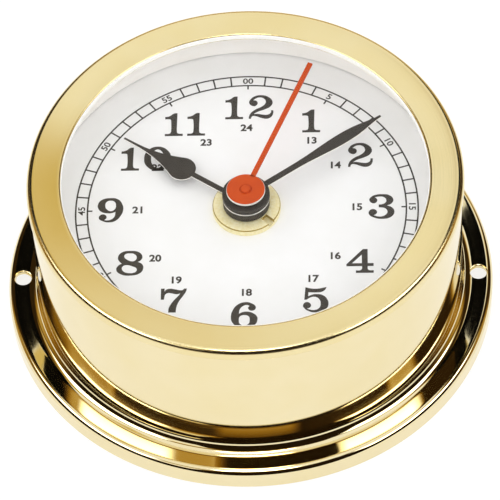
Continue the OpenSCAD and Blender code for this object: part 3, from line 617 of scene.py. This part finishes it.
def with_boss(bm, section, bare_lit_low=0.0, bare_lit_high=0.0):
    """Adds a turned boss to a blade; its faces between two heights on the outside take the pale edge metal,
    partly bare metal and partly a painted highlight.
    """
    blade_faces = set(bm.faces)
    outer = max(r for r, z in section)
    turned(section, bm)
    for face in bm.faces:
        middle = face.calc_center_median() / MM
        away = math.hypot(middle.x, middle.y)
        if face not in blade_faces and bare_lit_low < middle.z < bare_lit_high and away > outer - 2 * boss_edge:
            face.material_index = 1
    return bm


def boss_section(bore, r, low, top, edge):
    """Section of a round boss with a bevelled top edge."""
    section = [(bore, low), (r - edge / 2, low), (r, low + edge / 2)]
    section += arc((r - edge, top - edge), edge, 0, 90, steps=4)
    return section + [(bore, top)]


hour_bm = with_boss(
    blade(hour_outline(), hour_low, blade_t, hour_at, True),
    boss_section(hour_tube_r, hour_boss_r, hour_low, hour_top, boss_edge),
    hour_top - boss_edge, hour_top - MERGE)
place_piece(
    "hour_spade", to_mesh("hour_spade", hour_bm, [black_lacquer, bare_edge_and_highlight]), "hours",
    ["hour_hand"])

minute_bm = with_boss(
    blade(minute_outline(), minute_low, blade_t, minute_at, True),
    boss_section(minute_tube_r, minute_boss_r, minute_low, minute_top - minute_step, boss_edge)[:-1]
    + [(minute_hub_r, minute_top - minute_step), (minute_hub_r, minute_top), (minute_tube_r, minute_top)])
place_piece(
    "minute_leaf", to_mesh("minute_leaf", minute_bm, [black_lacquer, bare_edge_and_highlight]), "minutes",
    ["minute_hand"])

second_flat = second_low + second_t
second_section = [(arbor_r, second_low), (second_disc_r, second_low)]
second_section += [(second_disc_r, second_flat - disc_edge)]
second_section += [(second_disc_r - disc_edge, second_flat), (cap_r + 2 * cap_groove, second_flat)]
second_section += [(cap_r + cap_groove, second_flat - cap_groove), (cap_r, second_flat - cap_groove)]
second_section += arc((cap_r - cap_round, second_top - cap_round), cap_round, 0, 90, steps=4)
second_section += [(0.0, second_top), (0.0, second_top - cap_roof), (arbor_r, second_top - cap_roof)]
second_bm = with_boss(
    blade(second_outline(), second_low, second_t, second_at, False), second_section, second_low,
    second_flat - disc_edge / 2)
place_piece(
    "second_sweep", to_mesh("second_sweep", second_bm, [red_lacquer, bare_edge_and_highlight]), "seconds",
    ["second_hand"])


# Printing on the dial

GRID = 100.0
# Steps of the outlines of the large and the small figures
NUMERAL_FINE = 8
FIGURE_FINE = 4
NUMERAL_SIZE = 7.2
# Outlines drawn on a grid of 100; a point with a third value is a corner, the others are smooth
NUMERALS = {
    "0": [
        [(50, 91.5), (76, 79), (86.5, 50), (76, 21), (50, 8.5), (24, 21), (13.5, 50), (24, 79)],
        [(50, 82), (63, 71), (67.5, 50), (63, 29), (50, 18), (37, 29), (32.5, 50), (37, 71)]],
    "1": [
        [(52, 89, 1), (59, 89, 1), (59, 22), (61, 19), (74.5, 17, 1), (74.5, 10, 1), (26, 10, 1),
         (26, 17, 1), (40, 19), (42, 22.5), (42, 63), (41, 67), (37.5, 68.5), (26, 68.5, 1),
         (26, 76.5, 1), (32.5, 77), (41, 81), (47, 86.5)]],
    "2": [
        [(29, 54.5), (17, 65), (21, 79), (32.5, 89), (49, 92.5), (66, 88), (80.5, 69), (75, 53), (60, 43),
         (40, 34.5), (29, 26.5, 1), (40, 27), (55, 24), (67.5, 24), (75, 29), (77, 39, 1), (83, 38.5, 1),
         (82, 26.5), (76, 15), (65, 10), (50, 13), (36, 19), (26, 19.5), (23, 15), (22, 10.5, 1),
         (16, 10.5, 1), (17, 19), (22.5, 31.5), (35, 43), (50, 51.5), (60, 61.5), (62, 71.5), (56, 81.5),
         (46, 85), (35, 81.5), (28, 75, 1), (36, 73), (40, 65), (36, 57)]],
    "3": [
        [(26, 61), (16, 71.5), (22.5, 84), (35, 90), (50, 91.5), (69, 88), (80, 73), (75, 60),
         (62.5, 53, 1), (76, 46.5), (82.5, 31.5), (74, 15), (50, 8), (27.5, 13), (16, 21.5), (14, 31.5),
         (25, 41.5), (36, 33), (32.5, 24), (26, 21, 1), (37.5, 16.5), (50, 16.5), (61, 24), (64, 34),
         (57.5, 44), (46, 47), (41, 47, 1), (41, 56.5, 1), (49, 57), (59, 63), (61, 73), (54, 82),
         (41, 83.5), (30, 81, 1), (35.5, 76.5), (37, 70), (33, 63)]],
    "4": [
        [(54, 90, 1), (66.5, 90, 1), (66.5, 43, 1), (82, 43, 1), (82, 33.5, 1), (66.5, 33.5, 1),
         (66.5, 24.5), (69.5, 20), (82, 19, 1), (82, 11, 1), (35, 11, 1), (35, 19, 1), (47.5, 20),
         (51, 24.5), (51, 33.5, 1), (10, 33.5, 1), (10, 40, 1)],
        [(51, 72, 1), (51, 43, 1), (24.5, 43, 1)]],
    "5": [
        [(22.5, 91, 1), (35, 87), (51, 85.5), (67.5, 88), (78, 91, 1), (74.5, 82.5), (65.5, 75.5),
         (51, 73.5), (37.5, 74), (30.5, 74.5, 1), (29.5, 61, 1), (40, 66), (52.5, 68), (70, 63), (81, 48),
         (83, 38), (80, 24), (67.5, 13), (47.5, 8), (30, 13), (20, 21.5), (16, 31.5), (26, 42), (37, 33),
         (34, 24.5), (26, 21, 1), (35, 17), (47.5, 16), (59, 23), (62.5, 36.5), (60.5, 48), (54, 56.5),
         (44, 59.5), (34, 56.5), (26, 50.5, 1), (19.5, 50, 1)]],
    "6": [
        [(50, 89), (66, 86), (79.5, 71), (69.5, 61), (59, 69.5), (63, 77, 1), (55.5, 80), (45, 76),
         (37.5, 66.5), (35, 51, 1), (42.5, 55.5), (54, 58), (71, 53.5), (83, 41), (84, 31.5), (79.5, 18),
         (66, 8.5), (49.5, 6), (30, 11), (17.5, 24), (14, 41), (18, 61.5), (30, 80)],
        [(49, 47), (60.5, 43), (63.5, 30), (60.5, 18), (49, 13), (38, 18), (35, 30), (38, 43)]],
    "7": [
        [(14.5, 88.5, 1), (24, 88.5, 1), (24, 78.5, 1), (28, 84.5), (37.5, 88), (51, 86), (62.5, 83),
         (71, 83), (76, 88, 1), (83, 88, 1), (80.5, 78), (72.5, 63), (63, 47), (56.5, 29), (54.5, 10, 1),
         (35, 10, 1), (36, 24), (42.5, 39), (54, 56), (62.5, 66.5), (65.5, 72, 1), (55, 70), (42.5, 73),
         (32.5, 74), (26, 69), (24, 62), (23, 52.5, 1), (14.5, 52.5, 1)]],
    "8": [
        [(50, 92), (72.5, 86.5), (81, 71.5), (76, 60), (69, 55, 1), (80, 48), (84, 34), (76, 18), (50, 10),
         (24, 15), (12.5, 29), (17, 43), (27, 50, 1), (19, 59), (16, 70), (25, 86.5)],
        [(46, 84), (59, 81.5), (66, 70), (61, 59), (55, 57), (40, 63), (32.5, 73), (36, 81.5)],
        [(39, 45), (54, 41), (66, 33), (66, 25), (60, 19.5), (46, 18), (32.5, 23), (27, 33), (30, 41.5)]],
    "9": [
        [(49, 91.5), (69, 86.5), (80, 70), (83, 54), (77.5, 33), (62.5, 14), (47.5, 9.5), (30, 13),
         (18, 25), (29, 36.5), (39, 26.5), (32.5, 17, 1), (41, 16), (50, 18), (59, 26.5), (62.5, 45, 1),
         (55, 41.5), (44, 40), (25, 45), (15, 59), (14.5, 69), (22.5, 84)],
        [(49, 83), (59, 79), (63, 65), (60, 53), (50, 47), (39, 53), (34.5, 65), (38, 79)]],
}
# Where each large figure stands on the dial
HOUR_PLACES = [
    ("1", 12.4, 21.6), ("2", 22.0, 12.8), ("3", 26.07, 0.14), ("4", 22.0, -13.0), ("5", 13.3, -22.0),
    ("6", -0.2, -25.2), ("7", -13.6, -21.7), ("8", -22.1, -12.8), ("9", -26.2, 0.14),
    ("1", -22.79, 12.71), ("0", -17.46, 12.71), ("1", -14.43, 21.18), ("1", -10.07, 21.18),
    ("1", -2.68, 25.18), ("2", 2.64, 25.18)]
# Where the second round of hours, 13 to 24, stands
SMALL_PLACES = [
    (12.57, 16.7), (17.2, 10.5), (21.3, 0.14), (17.1, -11.6), (12.9, -17.0), (0.2, -20.07),
    (-13.2, -16.9), (-17.4, -11.6), (-21.1, 0.14), (-17.4, 10.5), (-8.07, 16.57), (-0.2, 20.1)]
FIRST_SMALL = 13
SMALL_HEIGHT = 1.54
SMALL_WIDTH = 1.05
SMALL_WEIGHT = 0.07
FIGURE_HEIGHT = 1.3
FIGURE_WIDTH = 1.12
FIGURE_WEIGHT = 0.03
MINUTES = 60
FIGURE_EVERY = 5


def numeral_mesh(digit):
    """One large figure as a thin flat mesh, centred, from its drawn outlines."""
    curve = bpy.data.curves.new("numeral", "CURVE")
    curve.dimensions = "2D"
    curve.fill_mode = "BOTH"
    curve.resolution_u = NUMERAL_FINE
    curve.extrude = ink_t / 2
    for outline in NUMERALS[digit]:
        spline = curve.splines.new("BEZIER")
        spline.bezier_points.add(len(outline) - 1)
        spline.use_cyclic_u = True
        for point, (x, y, *corner) in zip(spline.bezier_points, outline):
            point.co = ((x / GRID - 0.5) * NUMERAL_SIZE, (y / GRID - 0.5) * NUMERAL_SIZE, 0)
            kind = "VECTOR" if corner else "AUTO"
            point.handle_left_type = kind
            point.handle_right_type = kind
    return flat_mesh(curve)


def figures_curve(words, size):
    """Plain figures in the stock font."""
    curve = bpy.data.curves.new("figures", "FONT")
    curve.body = words
    curve.size = size
    curve.resolution_u = FIGURE_FINE
    return curve


def text_mesh(words, height, width, weight):
    """Plain figures as a thin flat mesh, centred, of the given height before their weight is added."""
    trial = flat_mesh(figures_curve(words, 1.0))
    ys = [v.co.y for v in trial.vertices]
    bpy.data.meshes.remove(trial)
    curve = figures_curve(words, height / (max(ys) - min(ys)))
    curve.offset = weight
    curve.extrude = ink_t / 2
    mesh = flat_mesh(curve)
    xs = [v.co.x for v in mesh.vertices]
    ys = [v.co.y for v in mesh.vertices]
    middle = Vector(((min(xs) + max(xs)) / 2, (min(ys) + max(ys)) / 2, 0))
    mesh.transform(Matrix.Diagonal((width, 1, 1, 1)) @ Matrix.Translation(-middle))
    return mesh


def flat_mesh(curve):
    """The filled mesh of a text or flat curve, before it has a place."""
    obj = bpy.data.objects.new(curve.name, curve)
    bpy.context.scene.collection.objects.link(obj)
    depsgraph = bpy.context.evaluated_depsgraph_get()
    mesh = bpy.data.meshes.new_from_object(obj.evaluated_get(depsgraph))
    bpy.data.objects.remove(obj)
    return mesh


def lay(bm, mesh, x, y, turn=0.0):
    """Adds a flat mesh, drawn in millimetres, to a print; turn is clockwise."""
    spot = Matrix.Translation((x, y, dial_top + ink_t / 2)) @ Matrix.Rotation(-math.radians(turn), 4, "Z")
    mesh.transform(Matrix.Scale(MM, 4) @ spot)
    bm.from_mesh(mesh)
    bpy.data.meshes.remove(mesh)


def line_box(bm, r_in, r_out, width, turn):
    """A short printed line that points to the dial's centre."""
    made = bmesh.ops.create_cube(bm, size=1.0)["verts"]
    bmesh.ops.scale(bm, verts=made, vec=Vector((width, r_out - r_in, ink_t)) * MM)
    middle = Vector((0, (r_in + r_out) / 2, dial_top + ink_t / 2)) * MM
    bmesh.ops.translate(bm, verts=made, vec=middle)
    bmesh.ops.rotate(
        bm, verts=made, cent=(0, 0, 0), matrix=Matrix.Rotation(-math.radians(turn), 3, "Z"))


hours_bm = bmesh.new()
for digit, x, y in HOUR_PLACES:
    lay(hours_bm, numeral_mesh(digit), x, y)
place_piece(
    "dial_hour_numerals", to_mesh("dial_hour_numerals", hours_bm, [dial_ink]), "case")

small_bm = bmesh.new()
for i, (x, y) in enumerate(SMALL_PLACES):
    lay(small_bm, text_mesh(str(FIRST_SMALL + i), SMALL_HEIGHT, SMALL_WIDTH, SMALL_WEIGHT), x, y)
place_piece(
    "dial_small_numerals", to_mesh("dial_small_numerals", small_bm, [dial_ink]), "case")

track_bm = bmesh.new()
half_line = track_line / 2
for r in (track_in, track_out):
    turned([
        (r - half_line, dial_top), (r + half_line, dial_top), (r + half_line, dial_top + ink_t),
        (r - half_line, dial_top + ink_t)], track_bm)
figures_bm = bmesh.new()
for minute in range(MINUTES):
    turn = minute * 360 / MINUTES
    if minute % FIGURE_EVERY:
        line_box(track_bm, track_in, track_out, track_line, turn)
    else:
        line_box(track_bm, track_in - tick_l, track_in, track_line, turn)
        words = "00" if minute == 0 else str(minute)
        figure = text_mesh(words, FIGURE_HEIGHT, FIGURE_WIDTH, FIGURE_WEIGHT)
        angle = math.radians(turn)
        lay(figures_bm, figure, figure_at * math.sin(angle), figure_at * math.cos(angle), turn)
place_piece("dial_minute_track", to_mesh("dial_minute_track", track_bm, [dial_ink]), "case")
place_piece(
    "dial_minute_numerals", to_mesh("dial_minute_numerals", figures_bm, [dial_ink]), "case")


# Studio: floor, light and camera

FLOOR_REACH = 450.0
FLOOR_STEPS = 64
# The floor lies this far below the clock's foot, so that the two don't share a plane
FLOOR_DROP = 0.02
FLOOR_GLOW = 0.78


def stand(name, bm, material, seen_by_camera=True):
    """Puts a piece of studio gear in the scene; it takes no light from the clock."""
    gear = bpy.data.objects.new(name, to_mesh(name, bm, [material]))
    bpy.context.scene.collection.objects.link(gear)
    gear.visible_camera = seen_by_camera
    gear.visible_diffuse = False
    gear.visible_shadow = False


def studio_floor():
    """A white table that keeps the clock's shadow; seen from below it isn't there."""
    bm = bmesh.new()
    bmesh.ops.create_circle(bm, cap_ends=True, segments=FLOOR_STEPS, radius=FLOOR_REACH * MM)
    bmesh.ops.translate(bm, verts=bm.verts, vec=(0, 0, -FLOOR_DROP * MM))
    material, tree, surface, _ = start("white_table")
    material.cycles.emission_sampling = "NONE"
    path = add(tree, "LightPath").outputs
    seen = add(tree, "Math", {0: path["Is Camera Ray"], 1: path["Is Glossy Ray"]}, operation="MAXIMUM")
    seen = add(tree, "Math", {0: seen.outputs[0], 1: path["Is Transmission Ray"]}, operation="MAXIMUM")
    glow = add(tree, "Math", {0: seen.outputs[0], 1: FLOOR_GLOW}, operation="MULTIPLY")
    side = add(tree, "NewGeometry").outputs["Backfacing"]
    paper = add(tree, "BsdfDiffuse", {"Color": linear("#8C8C8C")})
    lit = add(tree, "Emission", {"Color": linear("#FFFFFF"), "Strength": glow.outputs[0]})
    both = add(tree, "AddShader", {0: paper.outputs[0], 1: lit.outputs[0]})
    gone = add(tree, "BsdfTransparent")
    mix = add(tree, "MixShader", {"Fac": side, 1: both.outputs[0], 2: gone.outputs[0]})
    tree.links.new(mix.outputs[0], surface)
    stand("studio_floor", bm, material)


def direction(azimuth, elevation):
    """Unit vector towards a compass bearing, clockwise from +Y, and a height above the horizon."""
    a, e = math.radians(azimuth), math.radians(elevation)
    return Vector((math.sin(a) * math.cos(e), math.cos(a) * math.cos(e), math.sin(e)))


# Light that the metal mirrors: level of the white tent, then soft boxes and flags in it.
# Each has a bearing, a height, half its width, half its height, the width of its edge and its level
TENT_LEVEL = 1.05
# Upright edges are this many times softer than level ones
SIDE_SOFT = 3.0
SIDE_PANELS = [
    # Dim wall low behind the clock
    (0, 8, 80, 20, 6.0, 0.55),
    # Bright boxes at the right and the left, and the dim end of the left one
    (101, 45, 30, 9, 1.2, 5.0), (-102.5, 45, 31.5, 9, 1.2, 5.0), (-66, 45.5, 5, 9, 3.0, 0.45),
    # Dim strip in front on the left
    (-147, 52, 13, 3.5, 2.0, 0.6),
    # Black flags behind the clock, one at the left and two at the right
    (-39, 27, 21, 31, 2.0, 0.03), (49, 28, 14, 28, 2.0, 0.03), (57, 54, 23, 7.5, 2.0, 0.03),
    # Thin black strips in front, over the boxes' upper edges
    (123, 57, 27, 2.0, 1.2, 0.03), (-128, 56.75, 34, 1.75, 1.2, 0.03),
    # Dim strips above the boxes and above the camera
    (88, 57, 8, 2.5, 1.5, 0.6), (-67, 57, 27, 2.5, 1.5, 0.5), (178, 62, 22, 5, 1.5, 0.55)]
# A bright round box in front, above the camera: bearing, height, radius and level, and half its edge's width
TOP_BOX = (180, 69, 9.5, 10.0)
TOP_EDGE = 1.2
# The dark room in front of the clock: its height at the sides and near the camera, and the bearing there
ROOM_SIDE, ROOM_FRONT, ROOM_BEARING = 34.0, 62.0, 168.0
# Cosines of the bearing from its middle, between which it rises, and from 12 o'clock, between which it ends
ROOM_RISE = (0.78, 0.86)
ROOM_END = (0.68, 0.8)
# Half the width of its upper edge, in radians
ROOM_EDGE = 0.03
ROOM_LEVEL = 0.015
# Level below the horizon
GROUND_LEVEL = 0.35
# Tint of the mirrored light, from dim to bright
WARMTH = [(0.0, "#FFC070"), (0.3, "#FFC23C"), (0.65, "#FFDF90"), (1.0, "#FFFEFB")]
# Light of the dome on all that isn't mirror-like
DOME_LEVEL = 0.96
# Lamps: name, bearing, height, strength and spread
LAMPS = [
    ("front_light", 180, 32, 0.55, 80), ("left_light", -90, 25, 0.45, 60), ("right_light", 90, 25, 0.45, 60)]
# Black cards over the clock's sides: name, left and right edge; then near and far edge, and height
FLAGS = [("left_flag", -64.0, -45.2), ("right_flag", 41.2, 60.0)]
FLAG_Y = (0.0, 76.0)
FLAG_Z = 60.0
# A gilt board over the bezel's left: corners, cover from left to right as shares of its width,
# how far it fades in from its far edge, and its level
GILT_LOW, GILT_HIGH = (-45.0, -32.0, 60.0), (30.0, 38.0, 60.0)
GILT_COVER = [(0.06, 1.0), (0.23, 0.45), (0.6, 0.22), (1.0, 0.0)]
GILT_FADE = 16.0
GILT_LEVEL = 0.92


def studio_sky():
    """A white dome; polished metal sees its soft boxes, flags and the dark room, the camera plain white."""
    world = bpy.data.worlds.new("studio_sky")
    bpy.context.scene.world = world
    world.use_nodes = True
    tree = world.node_tree
    tree.nodes.clear()
    look = add(tree, "TexCoord").outputs["Generated"]
    split = add(tree, "SeparateXYZ", {"Vector": look}).outputs
    bearing = add(tree, "Math", {0: split["X"], 1: split["Y"]}, operation="ARCTAN2").outputs[0]
    height = add(tree, "Math", {0: split["Z"]}, operation="ARCSINE").outputs[0]

    def inside(value, middle, half, edge):
        """1 where the value is within half of the middle, falling to 0 over a soft edge."""
        off = add(tree, "Math", {0: value, 1: middle}, operation="SUBTRACT").outputs[0]
        off = add(tree, "Math", {0: off, 1: math.pi, 2: -math.pi}, operation="WRAP").outputs[0]
        off = add(tree, "Math", {0: off}, operation="ABSOLUTE").outputs[0]
        return add(tree, "MapRange", {
            "Value": off, "From Min": half - edge, "From Max": half + edge, "To Min": 1.0, "To Max": 0.0},
            interpolation_type="SMOOTHSTEP").outputs["Result"]

    def over(below, share, level):
        """Lays a panel of one level over what is below it."""
        step = add(tree, "Math", {0: level, 1: below}, operation="SUBTRACT").outputs[0]
        return add(tree, "Math", {0: share, 1: step, 2: below}, operation="MULTIPLY_ADD").outputs[0]

    top_share = add(tree, "VectorMath", {0: look, 1: direction(*TOP_BOX[:2])}, operation="DOT_PRODUCT")
    top_share = add(tree, "MapRange", {
        "Value": top_share.outputs["Value"], "From Min": math.cos(math.radians(TOP_BOX[2] + TOP_EDGE)),
        "From Max": math.cos(math.radians(TOP_BOX[2] - TOP_EDGE))}, interpolation_type="SMOOTHSTEP")
    light = over(TENT_LEVEL, top_share.outputs["Result"], TOP_BOX[3])
    # The dark room reaches higher near the camera than at the sides, and ends behind the clock
    level_look = add(tree, "VectorMath", {0: look, 1: (1, 1, 0)}, operation="MULTIPLY").outputs[0]
    level_look = add(tree, "VectorMath", {0: level_look}, operation="NORMALIZE").outputs[0]
    ahead = add(tree, "VectorMath", {0: level_look, 1: direction(ROOM_BEARING, 0)}, operation="DOT_PRODUCT")
    room_top = add(tree, "MapRange", {
        "Value": ahead.outputs["Value"], "From Min": ROOM_RISE[0], "From Max": ROOM_RISE[1],
        "To Min": math.radians(ROOM_SIDE), "To Max": math.radians(ROOM_FRONT)},
        interpolation_type="SMOOTHSTEP").outputs["Result"]
    below_top = add(tree, "Math", {0: room_top, 1: height}, operation="SUBTRACT").outputs[0]
    room = add(tree, "MapRange", {"Value": below_top, "From Min": -ROOM_EDGE, "From Max": ROOM_EDGE},
               interpolation_type="SMOOTHSTEP").outputs["Result"]
    away = add(tree, "SeparateXYZ", {"Vector": level_look}).outputs["Y"]
    front = add(tree, "MapRange", {
        "Value": away, "From Min": ROOM_END[0], "From Max": ROOM_END[1], "To Min": 1.0, "To Max": 0.0},
        interpolation_type="SMOOTHSTEP").outputs["Result"]
    room = add(tree, "Math", {0: room, 1: front}, operation="MULTIPLY").outputs[0]
    light = over(light, room, ROOM_LEVEL)
    for azimuth, elevation, half_w, half_h, edge, level in SIDE_PANELS:
        share = add(tree, "Math", {
            0: inside(bearing, math.radians(azimuth), math.radians(half_w), math.radians(edge * SIDE_SOFT)),
            1: inside(height, math.radians(elevation), math.radians(half_h), math.radians(edge))},
            operation="MULTIPLY").outputs[0]
        light = over(light, share, level)
    ground = add(tree, "Math", {0: split["Z"], 1: 0.0}, operation="LESS_THAN").outputs[0]
    light = over(light, ground, GROUND_LEVEL)
    warmth = add(tree, "ValToRGB", {"Fac": light})
    set_stops(warmth.color_ramp, [(at, linear(code)) for at, code in WARMTH])
    tent = add(tree, "Background", {"Color": warmth.outputs["Color"], "Strength": light})
    dome = add(tree, "Background", {"Color": linear("#FFFFFF"), "Strength": DOME_LEVEL})
    white = add(tree, "Background", {"Color": linear("#FFFFFF"), "Strength": 1.0})
    path = add(tree, "LightPath").outputs
    mirrored = add(tree, "MixShader", {
        "Fac": path["Is Glossy Ray"], 1: dome.outputs[0], 2: tent.outputs[0]})
    seen = add(tree, "MixShader", {
        "Fac": path["Is Camera Ray"], 1: mirrored.outputs[0], 2: white.outputs[0]})
    output = add(tree, "OutputWorld")
    tree.links.new(seen.outputs[0], output.inputs["Surface"])


def soft_lamp(name, azimuth, elevation, energy, spread):
    """A broad soft lamp for the matt surfaces; the metal mirrors the tent alone."""
    data = bpy.data.lights.new(name, "SUN")
    data.energy = energy
    data.angle = math.radians(spread)
    lamp = bpy.data.objects.new(name, data)
    bpy.context.scene.collection.objects.link(lamp)
    lamp.rotation_mode = "QUATERNION"
    lamp.rotation_quaternion = direction(azimuth, elevation).to_track_quat("Z", "Y")
    lamp.visible_glossy = False


def flange_flag(name, x_low, x_high):
    """A black card high over one side of the clock, which the flange mirrors; only the metal sees it."""
    bm = bmesh.new()
    corners = [(x_low, FLAG_Y[0]), (x_high, FLAG_Y[0]), (x_high, FLAG_Y[1]), (x_low, FLAG_Y[1])]
    bm.faces.new([bm.verts.new(Vector((x, y, FLAG_Z)) * MM) for x, y in corners])
    material, tree, surface, _ = start("black_felt")
    felt = add(tree, "BsdfDiffuse", {"Color": linear("#0A0908")})
    tree.links.new(felt.outputs[0], surface)
    stand(name, bm, material, seen_by_camera=False)


def gilt_board():
    """A see-through gilt board that warms the bezel's left side; only the metal sees it."""
    bm = bmesh.new()
    corners = [bm.verts.new(Vector((x, y, GILT_LOW[2])) * MM) for x, y in (
        GILT_LOW[:2], (GILT_HIGH[0], GILT_LOW[1]), GILT_HIGH[:2], (GILT_LOW[0], GILT_HIGH[1]))]
    bm.faces.new(corners)
    material, tree, surface, place = start("gilt_scrim")
    split = add(tree, "SeparateXYZ", {"Vector": place}).outputs
    across = add(tree, "MapRange", {
        "Value": split["X"], "From Min": GILT_LOW[0] * MM, "From Max": GILT_HIGH[0] * MM}).outputs["Result"]
    cover = add(tree, "ValToRGB", {"Fac": across})
    set_stops(cover.color_ramp, [(at, (share, share, share, 1.0)) for at, share in GILT_COVER])
    far = add(tree, "MapRange", {
        "Value": split["Y"], "From Min": GILT_HIGH[1] * MM, "From Max": (GILT_HIGH[1] - GILT_FADE) * MM},
        interpolation_type="SMOOTHSTEP").outputs["Result"]
    share = add(tree, "Math", {0: cover.outputs["Color"], 1: far}, operation="MULTIPLY").outputs[0]
    clear = add(tree, "BsdfTransparent")
    gilt = add(tree, "Emission", {"Color": linear("#E6CE84"), "Strength": GILT_LEVEL})
    mix = add(tree, "MixShader", {"Fac": share, 1: clear.outputs[0], 2: gilt.outputs[0]})
    tree.links.new(mix.outputs[0], surface)
    stand("gilt_board", bm, material, seen_by_camera=False)


# The photograph's viewpoint: bearing, height and roll, distance from the dial and the picture's centre
VIEW_AZIMUTH = 3.01
VIEW_ELEVATION = 52.6
VIEW_ROLL = -3.21
VIEW_DISTANCE = 866.7
VIEW_OFFSET = (0.624, -7.90)
SENSOR = 36.0
FOCAL_RATIO = 9.0


def set_camera():
    """Makes the camera at that viewpoint."""
    data = bpy.data.cameras.new("view")
    data.sensor_width = SENSOR
    data.lens = SENSOR * FOCAL_RATIO
    data.clip_start = 0.01
    camera = bpy.data.objects.new("view", data)
    bpy.context.scene.collection.objects.link(camera)
    back = direction(180 - VIEW_AZIMUTH, VIEW_ELEVATION)
    turn = math.radians(VIEW_AZIMUTH)
    right = Vector((math.cos(turn), math.sin(turn), 0))
    up = back.cross(right)
    c, s = math.cos(math.radians(VIEW_ROLL)), math.sin(math.radians(VIEW_ROLL))
    right, up = c * right + s * up, c * up - s * right
    eye = Vector((0, 0, dial_top)) + back * VIEW_DISTANCE + right * VIEW_OFFSET[0] + up * VIEW_OFFSET[1]
    axes = Matrix((right, up, back)).transposed().to_4x4()
    camera.matrix_world = Matrix.Translation(eye * MM) @ axes
    bpy.context.scene.camera = camera


studio_floor()
studio_sky()
for lamp in LAMPS:
    soft_lamp(*lamp)
for flag in FLAGS:
    flange_flag(*flag)
gilt_board()
set_camera()
bpy.context.scene.view_settings.view_transform = "Standard"
